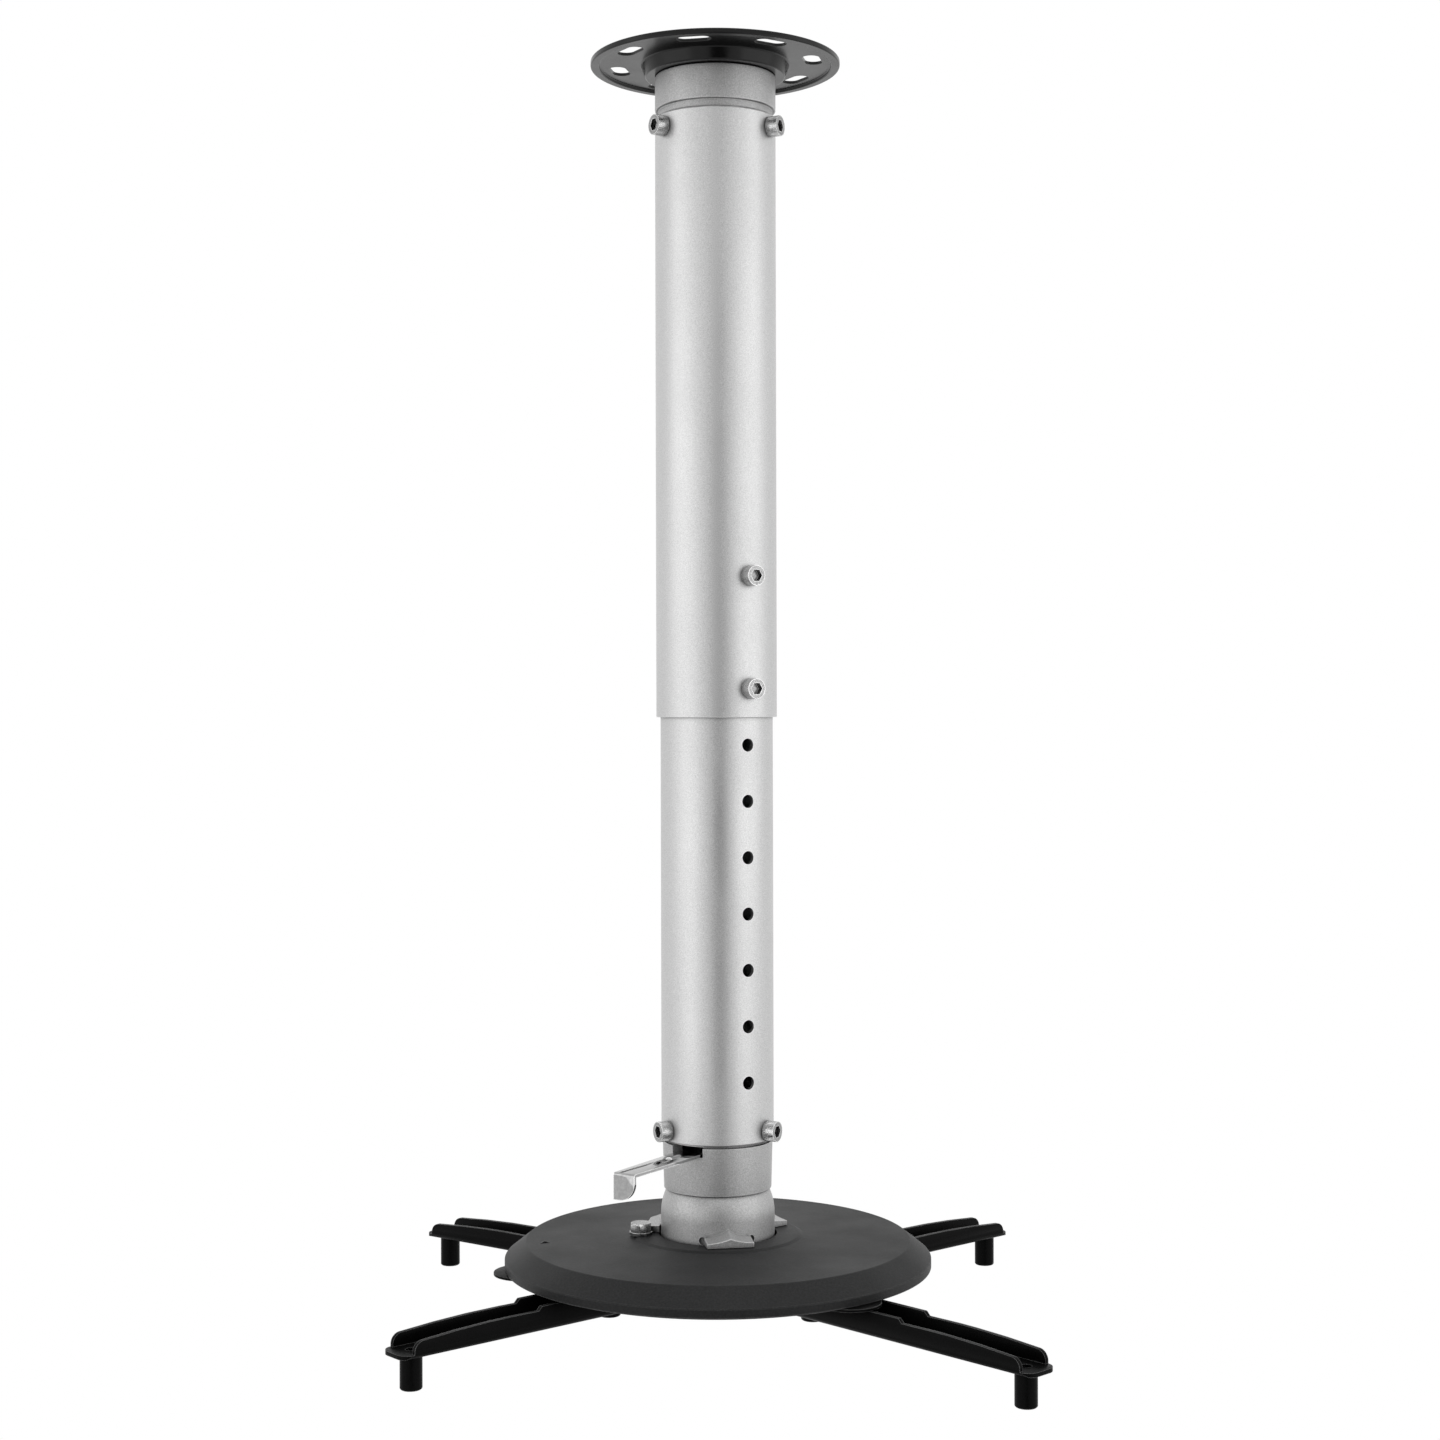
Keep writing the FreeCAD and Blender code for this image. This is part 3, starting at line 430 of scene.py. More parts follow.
def deselect():
    if bpy.context.object and bpy.context.object.mode != "OBJECT":
        bpy.ops.object.mode_set(mode="OBJECT")
    bpy.ops.object.select_all(action="DESELECT")

def take(piece):
    deselect()
    piece.select_set(True)
    bpy.context.view_layer.objects.active = piece

def smooth(piece, angle=SMOOTH_ANGLE):
    take(piece)
    bpy.ops.object.shade_smooth_by_angle(angle=math.radians(angle))
    return piece

def settle(piece, angle=SMOOTH_ANGLE):
    """Puts the place into the mesh, closes seams, turns normals outwards and smooths round faces."""
    take(piece)
    bpy.ops.object.transform_apply(location=True, rotation=True, scale=True)
    bpy.ops.object.mode_set(mode="EDIT")
    bpy.ops.mesh.select_all(action="SELECT")
    bpy.ops.mesh.remove_doubles(threshold=WELD)
    bpy.ops.mesh.normals_make_consistent(inside=False)
    bpy.ops.object.mode_set(mode="OBJECT")
    return smooth(piece, angle)

def lathe(name, outline, steps=160, angle=360):
    """Spins a closed outline of (radius, level) points in millimetres about Z, from +X."""
    deselect()
    bpy.ops.mesh.primitive_plane_add(size=0.01, location=(0, 0, 0))
    piece = bpy.context.object
    piece.name = name
    bpy.ops.object.mode_set(mode="EDIT")
    bpy.ops.mesh.select_all(action="SELECT")
    bpy.ops.mesh.merge(type="CENTER")
    radius, level = outline[0]
    bpy.ops.transform.translate(value=(radius * MM, 0, level * MM))
    for start, end in zip(outline, outline[1:] + outline[:1]):
        move = ((end[0] - start[0]) * MM, 0, (end[1] - start[1]) * MM)
        bpy.ops.mesh.extrude_region_move(TRANSFORM_OT_translate={"value": move})
    bpy.ops.mesh.select_all(action="SELECT")
    bpy.ops.mesh.remove_doubles(threshold=WELD)
    if angle < 360:
        bpy.ops.mesh.edge_face_add()
    bpy.ops.mesh.select_all(action="SELECT")
    bpy.ops.mesh.spin(steps=steps, angle=math.radians(angle), center=(0, 0, 0), axis=(0, 0, 1))
    return settle(piece)

# %% Modifiers, holes and joining
def apply(piece, kind, **settings):
    modifier = piece.modifiers.new(kind.lower(), kind)
    for key, value in settings.items():
        setattr(modifier, key, value)
    take(piece)
    bpy.ops.object.modifier_apply(modifier=modifier.name)

def bevel(piece, width, segments=2, angle=30):
    apply(piece, "BEVEL", width=width * MM, segments=segments, limit_method="ANGLE",
          angle_limit=math.radians(angle), use_clamp_overlap=True)

def cut(piece, *cutters):
    for cutter in cutters:
        apply(piece, "BOOLEAN", operation="DIFFERENCE", object=cutter, solver="EXACT")
        bpy.data.objects.remove(cutter)

def join(name, *parts):
    take(parts[0])
    for part in parts:
        part.select_set(True)
    bpy.ops.object.join()
    parts[0].name = name
    return parts[0]

def at_azimuth(radius, azimuth, level=0.0):
    """The place at so many millimetres from the axis, its azimuth counted from the front."""
    a = math.radians(azimuth)
    return Vector((radius * math.sin(a), -radius * math.cos(a), level)) * MM

def drill(radius, azimuth, level, start=4, reach=45, sides=48):
    """A radial cutter for one hole of a tube, from a start radius outwards."""
    deselect()
    bpy.ops.mesh.primitive_cylinder_add(vertices=sides, radius=radius * MM, depth=reach * MM,
                                        location=at_azimuth(reach / 2 + start, azimuth, level),
                                        rotation=(math.radians(90), 0, math.radians(azimuth)))
    return bpy.context.object

# %% Taking the place of CAD nodes
def dress(piece, node, slot=None):
    """Rides the piece on its node's body, replaces the node and takes over its finish."""
    piece.data.materials.clear()
    piece.data.materials.append(finish_of_slot[slot] if slot else finish_of(node))
    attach(piece, frame["nodes"][node]["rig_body"])
    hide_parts(node)
    print("made", piece.name, len(piece.data.polygons), "faces for", node)
    return piece

def levels(node):
    """Lowest and highest level and the outer radius of a turned node, in millimetres."""
    low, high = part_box(node)
    return low[2] / MM, high[2] / MM, (high[0] - low[0]) / 2 / MM

def refined_copy(node, name, width, segments=2):
    """A copy of a CAD node's mesh with its triangles joined and its edges broken."""
    piece = frame["nodes"][node].copy()
    piece.data = piece.data.copy()
    piece.parent = None
    for key in list(piece.keys()):
        del piece[key]
    piece.name = name
    bpy.context.scene.collection.objects.link(piece)
    take(piece)
    bpy.ops.object.mode_set(mode="EDIT")
    bpy.ops.mesh.select_all(action="SELECT")
    bpy.ops.mesh.remove_doubles(threshold=WELD)
    bpy.ops.mesh.dissolve_limited(angle_limit=math.radians(1.0))
    bpy.ops.mesh.customdata_custom_splitnormals_clear()
    bpy.ops.object.mode_set(mode="OBJECT")
    bevel(piece, width, segments)
    return smooth(piece)

# %% [markdown]
# ## The ceiling plate
#
# This is one steel disc, pressed in a die: a flat ring that meets the ceiling, a lip turned down
# round its edge and a boss in the middle. The bends are rounded, which the gloss paint shows as thin
# bright lines, so the section is beveled before the eight slots are punched through the ring. Slots
# cut first would be rounded too, and a punched edge is crisp. Their cutter is a cylinder with its two
# halves pulled apart.

# %% Ceiling plate
plate_low, _, plate_r = levels("ceiling_plate")
SHEET, BOSS_R, BOSS_TAPER, LIP_WIDTH, LIP_DROP, BORE_R = 1.5, 37.0, 2.2, 4.5, 1.2, 4.1
BOSS_END = BOSS_R - BOSS_TAPER

plate = lathe("ceiling_plate_pressed", [
    (plate_r, 0), (plate_r, -SHEET - LIP_DROP), (plate_r - LIP_WIDTH, -SHEET - LIP_DROP),
    (plate_r - LIP_WIDTH, -SHEET), (BOSS_R, -SHEET), (BOSS_END, plate_low), (BORE_R, plate_low),
    (BORE_R, plate_low + SHEET), (BOSS_END - SHEET, plate_low + SHEET), (BOSS_R - SHEET, 0)], 256)
bevel(plate, 1.0, 4)

# %% Slots in the ceiling plate
SLOTS, SLOT_CIRCLE, SLOT_LENGTH, SLOT_WIDTH, FIRST_SLOT = 8, 49.0, 17.0, 8.5, -12.0
PUNCH_LENGTH = 12

def slot_cutter(azimuth):
    deselect()
    bpy.ops.mesh.primitive_cylinder_add(vertices=32, radius=SLOT_WIDTH / 2 * MM,
                                        depth=PUNCH_LENGTH * MM)
    cutter = bpy.context.object
    half = (SLOT_LENGTH - SLOT_WIDTH) / 2 * MM
    for vertex in cutter.data.vertices:
        vertex.co.x += half if vertex.co.x > 0 else -half
    cutter.location = at_azimuth(SLOT_CIRCLE, azimuth)
    cutter.rotation_euler = (0, 0, math.radians(azimuth))
    return cutter

cut(plate, *[slot_cutter(FIRST_SLOT + k * 360 / SLOTS) for k in range(SLOTS)])
dress(settle(plate), "ceiling_plate")

# %% [markdown]
# ## The two tubes
#
# Each tube is cut from drawn steel, drilled and coated. The lathe helper turns the wall, a fine bevel
# breaks the sawn ends, and radial cutters drill the screw holes. A cylinder with a Solidify modifier
# would do for the wall, but not for the slanted upper edge of the outer tube. The row of holes on the
# inner tube sets the length of the mount.

# %% Levels of holes and screws
HOLE_AZIMUTH, HOLE_PITCH, HOLE_COUNT, HOLE_R = 33.0, 27.5, 10, 3.25
UPPER_AZIMUTHS, LOWER_AZIMUTHS = (-57, 63, 183), (-60, 60, 180)
SCREW_R, UPPER_SCREW_DROP, LOWER_SCREW_RISE, CLAMP_SCREW_RISE = 3.1, 7, 5, 14
outer_low, outer_high, outer_r = levels("outer_tube")
inner_low, inner_high, inner_r = levels("inner_tube")
upper_screw_level = outer_high - UPPER_SCREW_DROP
lower_screw_level = inner_low + LOWER_SCREW_RISE
clamp_levels = (outer_low + CLAMP_SCREW_RISE, outer_low + CLAMP_SCREW_RISE + 2 * HOLE_PITCH)
print("screw levels:", [round(v, 1) for v in (upper_screw_level, *clamp_levels, lower_screw_level)])

# %% Outer tube
OUTER_WALL, SLANT_HEIGHT, SLANT_DEPTH = 1.75, 0.7, 0.5
outer = lathe("outer_tube_coated", [
    (outer_r - OUTER_WALL, outer_low), (outer_r, outer_low), (outer_r, outer_high - SLANT_HEIGHT),
    (outer_r - SLANT_DEPTH, outer_high), (outer_r - OUTER_WALL, outer_high)], 192)
bevel(outer, 0.3, 2)
cut(outer, *[drill(SCREW_R, a, upper_screw_level) for a in UPPER_AZIMUTHS],
    *[drill(SCREW_R, HOLE_AZIMUTH, level) for level in clamp_levels])
dress(settle(outer), "outer_tube")

# %% Inner tube
INNER_WALL = 2
inner = lathe("inner_tube_coated", [
    (inner_r - INNER_WALL, inner_low), (inner_r, inner_low), (inner_r, inner_high),
    (inner_r - INNER_WALL, inner_high)], 192)
bevel(inner, 0.3, 2)
holes = [clamp_levels[1] - k * HOLE_PITCH for k in range(HOLE_COUNT)]
cut(inner, *[drill(HOLE_R, HOLE_AZIMUTH, level) for level in holes],
    *[drill(SCREW_R, a, lower_screw_level) for a in LOWER_AZIMUTHS])
dress(settle(inner), "inner_tube")

# %% [markdown]
# ## The collars
#
# The upper collar is a cast plug: its flange is as wide as the tube, and a thin groove shows where
# the plug enters it. The lower collar tapers a little towards the ball, is hollow over it like a bowl,
# and has the lever's window in its left side. Both are turned. The window is cut with a block that is
# spun about the same axis, so its back follows the wall, which a plain box wouldn't.

# %% Upper collar
collar_low, collar_high, collar_r = levels("upper_collar")
FLANGE, PLUG_R, PLUG_WALL, WEB = 17.0, 28.15, 4.5, 5.0
upper_collar = lathe("upper_collar_cast", [
    (BORE_R, collar_high), (collar_r, collar_high), (collar_r, collar_high - FLANGE),
    (PLUG_R, collar_high - FLANGE), (PLUG_R, collar_low), (PLUG_R - PLUG_WALL, collar_low),
    (PLUG_R - PLUG_WALL, collar_high - WEB), (BORE_R, collar_high - WEB)], 192)
bevel(upper_collar, 0.5, 3)
cut(upper_collar, *[drill(SCREW_R, a, upper_screw_level) for a in UPPER_AZIMUTHS])
dress(settle(upper_collar), "upper_collar")

# %% Lower collar
COLLAR_DEPTH, COLLAR_SHOULDER = 25, 1.6
socket_low, socket_high = inner_low - COLLAR_DEPTH, inner_low - COLLAR_SHOULDER
COLLAR_TOP_R, COLLAR_END_R, ROOM_R, BOLT_BORE_R = 27.3, 26.7, 21.35, 4.1
LEVER_ROOM = 5.4
BALL_LEVEL = next(j for j in frame["joints"] if j["name"] == "head_yaw")["pos_m"][2] / MM
BALL_R, SEAT_R = 28.3, 29.7
LIP_HEIGHT, SLIDE_GAP = 3.0, 0.3

def arc(radius, start, end, count):
    """Section points on a sphere about the ball's centre, by angle from its pole."""
    steps = [math.radians(start + (end - start) * k / count) for k in range(count + 1)]
    return [(radius * math.sin(a), BALL_LEVEL + radius * math.cos(a)) for a in steps]

lip_high = socket_low + LIP_HEIGHT
lip_r = math.sqrt(BALL_R ** 2 - (socket_low - BALL_LEVEL) ** 2) + SLIDE_GAP
seat_end = math.degrees(math.acos((lip_high - BALL_LEVEL) / SEAT_R))
seat_start = math.degrees(math.asin(BOLT_BORE_R / SEAT_R))
plug_high = levels("lower_collar")[1]
lower_collar = lathe("lower_collar_cast", [
    (ROOM_R, plug_high), (ROOM_R + PLUG_WALL, plug_high), (ROOM_R + PLUG_WALL, socket_high),
    (COLLAR_TOP_R, socket_high), (COLLAR_END_R, socket_low), (lip_r, socket_low), (lip_r, lip_high)]
    + arc(SEAT_R, seat_end, seat_start, 12)
    + [(BOLT_BORE_R, socket_high - LEVER_ROOM), (ROOM_R, socket_high - LEVER_ROOM)], 192)
bevel(lower_collar, 0.4, 3)
print("ball's centre at", round(BALL_LEVEL, 2), "mm, seat from", round(seat_start), "to",
      round(seat_end), "degrees")

# %% The lever's window
WINDOW_HEIGHT, WINDOW_AZIMUTHS = 4.4, (-54.5, -15.6)
CUT_INWARD, CUT_OUTWARD, CUT_UPWARD = 2, 3, 0.6

def window_cutter(low, high, azimuths, inner_radius, outer_radius, steps=24):
    """A block whose flat end is spun about Z through the window's angle, clockwise from above."""
    block = lathe("window_block", [(inner_radius, low), (outer_radius, low), (outer_radius, high),
                                   (inner_radius, high)], steps, azimuths[1] - azimuths[0])
    block.rotation_euler = (0, 0, math.radians(azimuths[1] - 90))
    return settle(block)

cut(lower_collar, window_cutter(
    socket_high - WINDOW_HEIGHT, socket_high + CUT_UPWARD, WINDOW_AZIMUTHS,
    ROOM_R - CUT_INWARD, COLLAR_TOP_R + CUT_OUTWARD))
cut(lower_collar, *[drill(SCREW_R, a, lower_screw_level) for a in LOWER_AZIMUTHS])
dress(settle(lower_collar), "lower_collar")

# %% [markdown]
# ## The ball hub
#
# The hub is one casting: an open dome that the collar grips, a straight skirt and three foot lugs.
# A round bite of the skirt marks each end of a lug, and a small pointed gusset rises behind it. The
# lug starts as a grid, its back edge is raised to a ridge, and a bevel gives it the soft corners of a
# casting. A cube would have too few points along that hollow curve. The lug beside the lock bolt has
# room cut out for its washer.

# %% Dome and skirt
hub_low = levels("ball_hub")[0]
cover_level = levels("cover_disc")[1]
DOME_WALL, DOME_OPENING, FLANGE_R, FLANGE_HEIGHT = 3.0, 31.5, 16.0, 6.0
hub = lathe("ball_hub_cast", arc(BALL_R, DOME_OPENING, 90, 20) + [
    (BALL_R, hub_low), (FLANGE_R, hub_low), (FLANGE_R, hub_low + FLANGE_HEIGHT),
    (BALL_R - DOME_WALL, hub_low + FLANGE_HEIGHT)]
    + arc(BALL_R - DOME_WALL, 90, DOME_OPENING, 16), 192)
bevel(hub, 0.4, 2)

# %% Bites at the ends of the lugs
LUG_AZIMUTHS, LUG_HALF_WIDTH = (10, 130, -110), 11.5
BITE_R, BITE_DEPTH, BITE_GAP = 1.9, 1.9, 0.6

def bite_cutters(azimuth):
    """Cutters for two round bites out of the skirt, one at each end of a lug."""
    turn = math.degrees(math.asin((LUG_HALF_WIDTH + BITE_GAP) / BALL_R))
    return [drill(BITE_R, azimuth + side * turn, cover_level + BITE_R, BALL_R - BITE_DEPTH)
            for side in (-1, 1)]

cut(hub, *[cutter for azimuth in LUG_AZIMUTHS for cutter in bite_cutters(azimuth)])

# %% Foot lugs
LUG_R, LUG_ROOT, LUG_HEIGHT, FRONT_PEAK, WALL_RISE, GUSSET = 36.0, 1.5, 2.4, 2.1, 1.1, 5.8
FOOT_GAP, HOLLOW = 0.1, 0.62

def crest(x, side_height, peak_height):
    """Height of a lug's top: two hollow curves that meet in a point at its middle."""
    share = 1 - abs(x) / LUG_HALF_WIDTH
    return side_height + (peak_height - side_height) * ((1 - HOLLOW) * share + HOLLOW * share ** 3)

def foot_lug(azimuth, columns=24, rows=8):
    """One lug: a flat grid, its far edge raised into the crest, then thickened down to the cover."""
    deselect()
    bpy.ops.mesh.primitive_grid_add(x_subdivisions=columns, y_subdivisions=rows, size=1)
    lug = bpy.context.object
    depth = LUG_R - BALL_R + LUG_ROOT
    lug.scale = (2 * LUG_HALF_WIDTH * MM, depth * MM, 1)
    lug.location = (0, -(LUG_R - depth / 2) * MM, 0)
    settle(lug)
    base = (cover_level + FOOT_GAP) * MM
    for vertex in lug.data.vertices:
        x = vertex.co.x / MM
        inward = (vertex.co.y / MM + LUG_R) / depth
        front = crest(x, LUG_HEIGHT, LUG_HEIGHT + FRONT_PEAK)
        back = crest(x, LUG_HEIGHT + WALL_RISE, LUG_HEIGHT + GUSSET)
        vertex.co.z = base + (front + (back - front) * inward) * MM
    take(lug)
    bpy.ops.object.mode_set(mode="EDIT")
    bpy.ops.mesh.select_all(action="SELECT")
    bpy.ops.mesh.extrude_region_move(TRANSFORM_OT_translate={"value": (0, 0, -3 * LUG_HEIGHT * MM)})
    bpy.ops.object.mode_set(mode="OBJECT")
    for vertex in lug.data.vertices:
        if vertex.select:
            vertex.co.z = base  # the extruded underside is laid flat
    settle(lug, 50)
    bevel(lug, 0.25, 2, 50)
    lug.rotation_euler = (0, 0, math.radians(azimuth))
    return settle(lug, 50)

lugs = [foot_lug(azimuth) for azimuth in LUG_AZIMUTHS]
print("lugs:", len(lugs), "faces each:", len(lugs[0].data.polygons))

# %% Room for the lock washer, and the whole hub
LOCK_AZIMUTH, LOCK_CIRCLE, WASHER_R, WASHER_ROOM = -83.5, 38.4, 5.7, 0.3
ROOM_HEIGHT, FLOOR_GAP = 30, 0.01

deselect()
bpy.ops.mesh.primitive_cylinder_add(
    vertices=64, radius=(WASHER_R + WASHER_ROOM) * MM, depth=ROOM_HEIGHT * MM,
    location=at_azimuth(LOCK_CIRCLE, LOCK_AZIMUTH, cover_level + FLOOR_GAP + ROOM_HEIGHT / 2))
lug_by_bolt = lugs[2]
cut(lug_by_bolt, bpy.context.object)
hub = join("ball_hub_cast", settle(hub), *lugs)
dress(hub, "ball_hub")

# %% [markdown]
# ## The cover
#
# The cover is a moulded dish with a flat ring round the hub, a top that falls slightly to a soft edge,
# a slanted border and an upright rim. All of that is one section, so it is turned. A disc with inset
# rings would need each ring moved to its level by itself. The small pointer on its left is sunk into
# the surface with a three sided cylinder.

# %% Cover disc
cover_low, cover_high, cover_r = levels("cover_disc")
HUB_HOLE_R, RING_R, RING_SLANT, RING_STEP = 29.3, 40.5, 1.8, 0.9
FLAT_R, SLOPE_DROP, CHAMFER_DROP = 95.4, 2.7, 8.2
WALL, RIM_EXTRA, FLAT_EXTRA = 2.0, 0.4, 0.6
edge_level = cover_high - SLOPE_DROP
rim_top = edge_level - CHAMFER_DROP
cover = lathe("cover_disc_moulded", [
    (HUB_HOLE_R, cover_high), (RING_R, cover_high), (RING_R + RING_SLANT, cover_high - RING_STEP),
    (FLAT_R, edge_level), (cover_r, rim_top), (cover_r, cover_low), (cover_r - WALL, cover_low),
    (cover_r - WALL, rim_top - RIM_EXTRA), (FLAT_R - FLAT_EXTRA, edge_level - WALL),
    (RING_R, cover_high - WALL - RIM_EXTRA), (HUB_HOLE_R, cover_high - WALL - RIM_EXTRA)], 288)
bevel(cover, 0.3, 2, 14)

# %% Pointer mark and the lock bolt's hole
MARK_CIRCLE, MARK_AZIMUTH, MARK_LENGTH, MARK_DEPTH = 83.2, -82.2, 5.4, 1.0
MARK_R = MARK_LENGTH * 0.62  # the circle through the triangle's corners
CUTTER_HEIGHT, LOCK_HOLE_R, DRILL_LENGTH = 4, 3.1, 50
slope = (SLOPE_DROP - RING_STEP) / (FLAT_R - RING_R)
mark_level = cover_high - RING_STEP - slope * (MARK_CIRCLE - RING_R)
deselect()
bpy.ops.mesh.primitive_cylinder_add(vertices=3, radius=MARK_R * MM, depth=CUTTER_HEIGHT * MM)
mark = bpy.context.object
mark.rotation_euler = (0, 0, math.radians(90 + MARK_AZIMUTH))
mark.location = at_azimuth(MARK_CIRCLE + MARK_LENGTH / 2, MARK_AZIMUTH,
                           mark_level - MARK_DEPTH + CUTTER_HEIGHT / 2)
cut(cover, mark)
deselect()
bpy.ops.mesh.primitive_cylinder_add(vertices=48, radius=LOCK_HOLE_R * MM, depth=DRILL_LENGTH * MM,
                                    location=at_azimuth(LOCK_CIRCLE, LOCK_AZIMUTH, cover_high))
cut(cover, bpy.context.object)
dress(settle(cover, 25), "cover_disc")

# %% [markdown]
# ## The plate under the cover and the arms
#
# These are flat and folded sheet metal with many cuts, and their true outlines already exist in the
# CAD frame. Redrawing them would only copy the same lines with more error, so each is a copy of the
# CAD mesh: its triangles are joined back into flat faces and a Bevel modifier breaks the edges.

# %% Base plate and arms
SHEET_BEVEL = 0.35
dress(refined_copy("base_plate", "base_plate_coated", SHEET_BEVEL), "base_plate")
ARM_NODES = [name for name in frame["nodes"] if name.startswith("arm_")]
for name in ARM_NODES:
    dress(refined_copy(name, name + "_folded", SHEET_BEVEL), name)

# %% [markdown]
# ## The clamp lever
#
# The lever is a strip of chromed steel with a pressed bead and a tab folded down at its end. It could
# be bent out of a plane, but its true outline is in the frame too, so it is a copy. Chrome shows every
# facet of an edge, so its bevel has one segment more than those of the painted sheets.

# %% Clamp lever
dress(refined_copy("clamp_lever", "clamp_lever_chromed", 0.3, 3), "clamp_lever")

# %% [markdown]
# ## The socket cap screws
#
# The heads of M6 cap screws are knurled, which shows in the photo as a fine toothed edge. Each head is
# a cylinder with as many sides as teeth and gaps together, and every second side is inset and pushed
# in. A bump map would look right from the front but would leave the outline of the head smooth.

# %% Knurled head
HEAD_R, HEAD_HEIGHT, KEY_FLATS, KEY_DEPTH = 5.0, 6.0, 5.4, 3.0
TEETH, TOOTH_SLANT, TOOTH_DEPTH = 36, 0.09, 0.14

def knurled_head(seat_r):
    """A screw's head along Z, its seat so many millimetres up, with a hexagon socket in its top."""
    deselect()
    bpy.ops.mesh.primitive_cylinder_add(vertices=TEETH * 2, radius=HEAD_R * MM, depth=HEAD_HEIGHT * MM,
                                        location=(0, 0, (seat_r + HEAD_HEIGHT / 2) * MM))
    head = bpy.context.object
    bpy.ops.object.transform_apply(location=True)
    bpy.ops.object.mode_set(mode="EDIT")
    mesh = bmesh.from_edit_mesh(head.data)
    for face in mesh.faces:
        centre = face.calc_center_median()
        around = math.atan2(centre.y, centre.x) / math.pi * TEETH
        face.select = abs(face.normal.z) < 0.1 and math.floor(around) % 2 == 0
    bmesh.update_edit_mesh(head.data)
    bpy.ops.mesh.inset(thickness=TOOTH_SLANT * MM, depth=-TOOTH_DEPTH * MM, use_individual=True)
    bpy.ops.object.mode_set(mode="OBJECT")
    deselect()
    bpy.ops.mesh.primitive_cylinder_add(
        vertices=6, radius=KEY_FLATS / math.sqrt(3) * MM, depth=2 * KEY_DEPTH * MM,
        location=(0, 0, (seat_r + HEAD_HEIGHT) * MM), rotation=(0, 0, math.radians(30)))
    cut(head, bpy.context.object)
    bevel(head, 0.4, 3, 70)
    return head

# %% Whole cap screw
SHANK_R, SHANK_SINK = SCREW_R - 0.1, 0.2

def cap_screw(azimuth, level, seat_r, tip_r):
    """One screw, built along Z with its head's top up, then laid to point at the axis."""
    head = knurled_head(seat_r)
    root_r = seat_r + SHANK_SINK
    deselect()
    bpy.ops.mesh.primitive_cylinder_add(vertices=40, radius=SHANK_R * MM, depth=(root_r - tip_r) * MM,
                                        location=(0, 0, (root_r + tip_r) / 2 * MM))
    shank = bpy.context.object
    bevel(shank, 0.4, 2)
    screw = join("cap_screw", head, shank)
    screw.rotation_euler = (math.radians(90), 0, math.radians(azimuth))
    screw.location = (0, 0, level * MM)
    return settle(screw)

# %% All cap screws
UPPER_TIP_R, CLAMP_REACH, LOWER_TIP_R = 22.6, 1.45, 20.4
upper = [cap_screw(a, upper_screw_level, outer_r, UPPER_TIP_R) for a in UPPER_AZIMUTHS]
dress(join("upper_cap_screws", *upper), "upper_screws")
clamps = [cap_screw(HOLE_AZIMUTH, level, outer_r, outer_r - CLAMP_REACH) for level in clamp_levels]
dress(join("height_cap_screws", *clamps), "clamp_screws")
lower = [cap_screw(a, lower_screw_level, inner_r, LOWER_TIP_R) for a in LOWER_AZIMUTHS]
dress(join("lower_cap_screws", *lower), "lower_screws")

# %% [markdown]
# ## The lock bolt and its washer
#
# A small hexagon bolt sits on a flat washer beside the hub. Its head is a six sided cylinder met by a
# shallow cone, which leaves the curved chamfer lines of a real head. A Bevel modifier on the hexagon
# alone would leave straight ones.

# %% Lock washer
washer_low, washer_high, washer_r = levels("lock_washer")
LOCK_BOLT_R, LOCK_PLAY = 3.0, 0.1

def stand(piece, azimuth, circle):
    """Moves a piece turned on Z to its place on a circle about the mount's axis."""
    piece.location = at_azimuth(circle, azimuth)
    return settle(piece)

washer = lathe("lock_washer_zinc", [
    (LOCK_BOLT_R + LOCK_PLAY, washer_low), (washer_r, washer_low), (washer_r, washer_high),
    (LOCK_BOLT_R + LOCK_PLAY, washer_high)], 64)
bevel(washer, 0.2, 2)
dress(stand(washer, LOCK_AZIMUTH, LOCK_CIRCLE), "lock_washer")

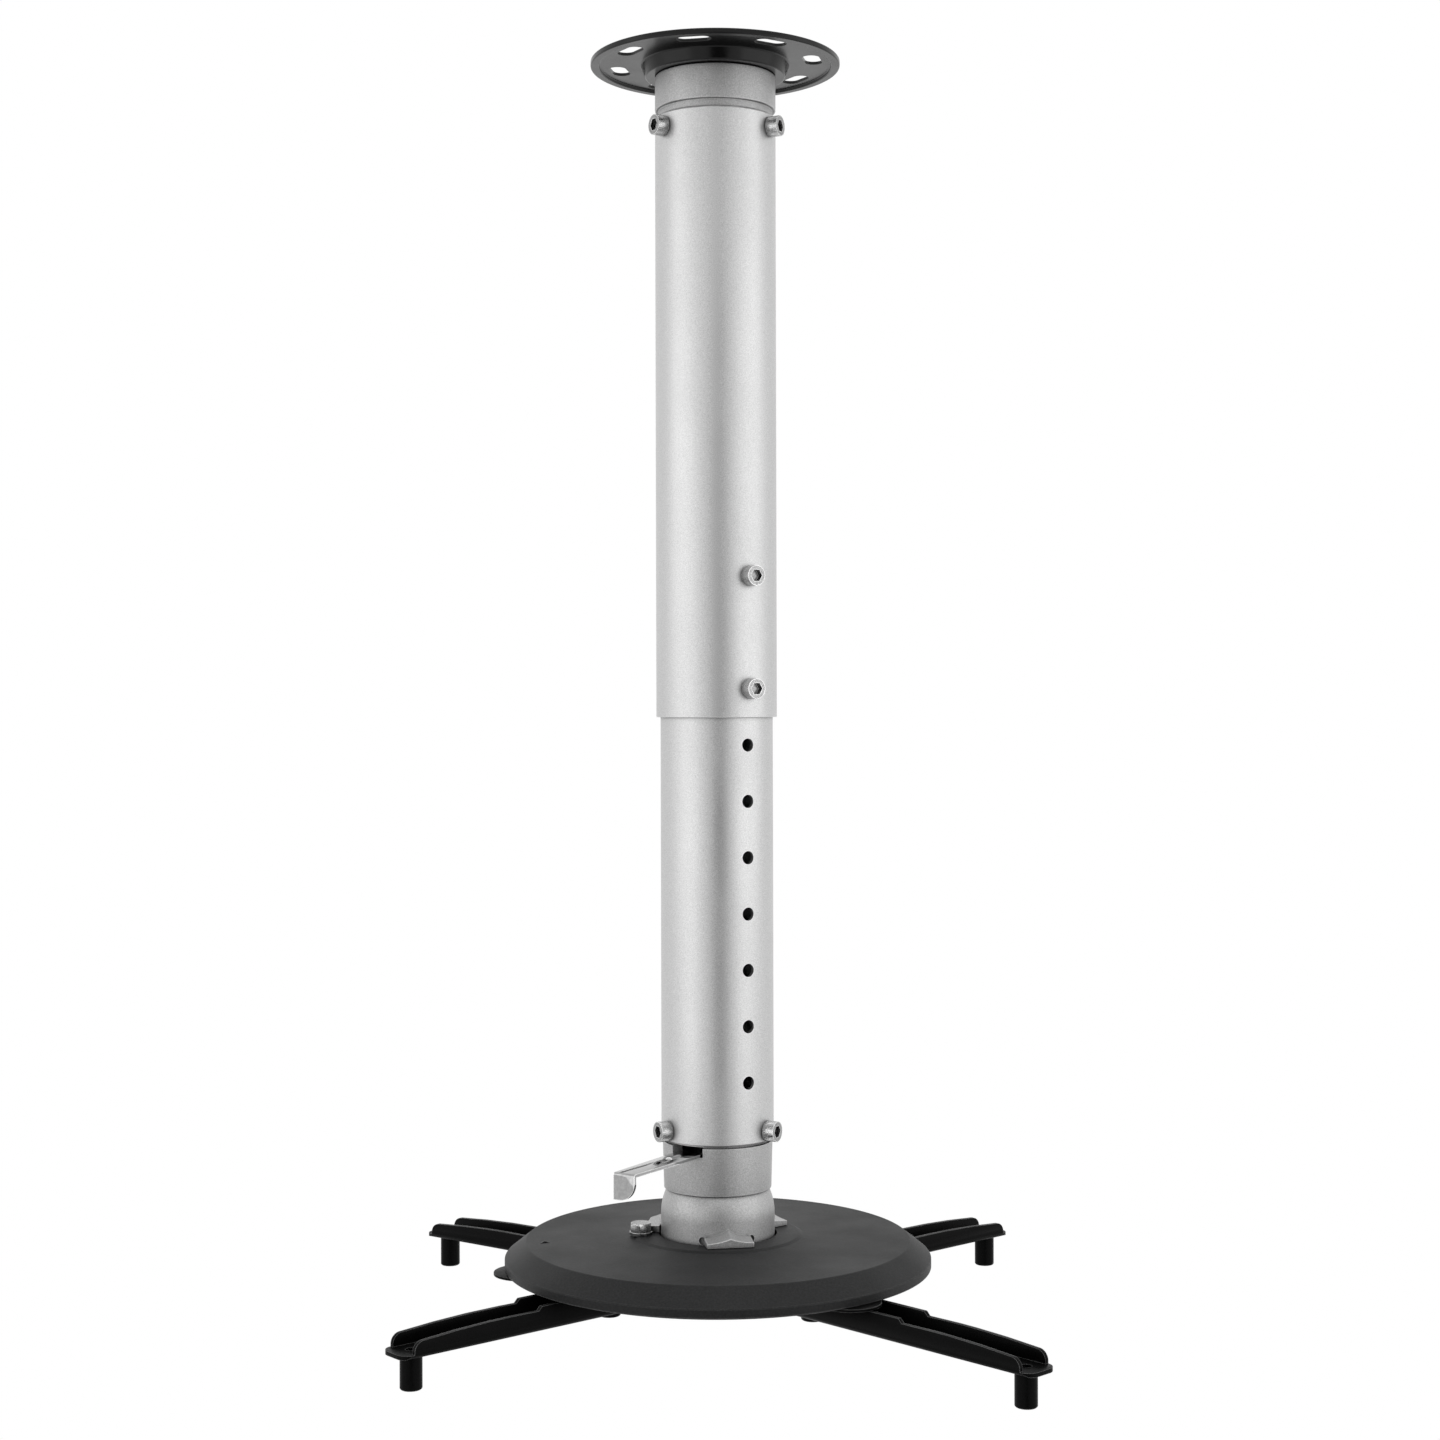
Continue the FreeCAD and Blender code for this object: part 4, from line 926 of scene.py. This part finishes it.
# %% Lock bolt
bolt_low, bolt_high, _ = levels("lock_bolt")
LOCK_FLATS, CONE_R, CONE_HEIGHT, CONE_INSET, CONE_SINK = 10.0, 9.0, 3.8, 0.2, 0.1

deselect()
bpy.ops.mesh.primitive_cylinder_add(vertices=6, radius=LOCK_FLATS / math.sqrt(3) * MM,
                                    depth=(bolt_high - washer_high) * MM,
                                    location=(0, 0, (bolt_high + washer_high) / 2 * MM))
head = settle(bpy.context.object)
crown = lathe("crown", [
    (0, washer_high - CONE_SINK), (CONE_R, washer_high - CONE_SINK), (CONE_R, bolt_high - CONE_HEIGHT),
    (LOCK_FLATS / 2 - CONE_INSET, bolt_high), (0, bolt_high)], 96)
apply(head, "BOOLEAN", operation="INTERSECT", object=crown, solver="EXACT")
bpy.data.objects.remove(crown)
bevel(head, 0.12, 2, 25)
shank = lathe("shank", [(0, bolt_low), (LOCK_BOLT_R, bolt_low), (LOCK_BOLT_R, washer_high),
                        (0, washer_high)], 48)
bolt = join("lock_bolt_zinc", head, shank)
dress(stand(bolt, LOCK_AZIMUTH, LOCK_CIRCLE), "lock_bolt")

# %% [markdown]
# ## The stand-offs and the pivot screws
#
# Under each arm's tip stands a turned foot, bored for the screw that holds the projector, with a
# slanted rim at its lower end. Turning it gives that rim in one go. The pivot screws are plain solids
# in the frame already, so they are copies with broken edges. Their finish is black, as the photo shows
# them.

# %% Stand-offs and pivot screws
FOOT_BORE_R, FOOT_RIM = 2.25, 0.6
for name in ARM_NODES:
    corner = name[len("arm_"):]
    foot_node, screw_node = "standoff_" + corner, "pivot_screw_" + corner
    foot_low, foot_high, foot_r = levels(foot_node)
    foot = lathe(foot_node + "_turned", [
        (FOOT_BORE_R, foot_low), (foot_r - FOOT_RIM, foot_low), (foot_r, foot_low + FOOT_RIM),
        (foot_r, foot_high), (FOOT_BORE_R, foot_high)], 72)
    bevel(foot, 0.2, 2)
    low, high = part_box(foot_node)
    centre = (low + high) / 2
    foot.location = (centre.x, centre.y, 0)
    dress(settle(foot), foot_node)
    dress(refined_copy(screw_node, screw_node + "_coated", 0.15), screw_node, "black_coat")
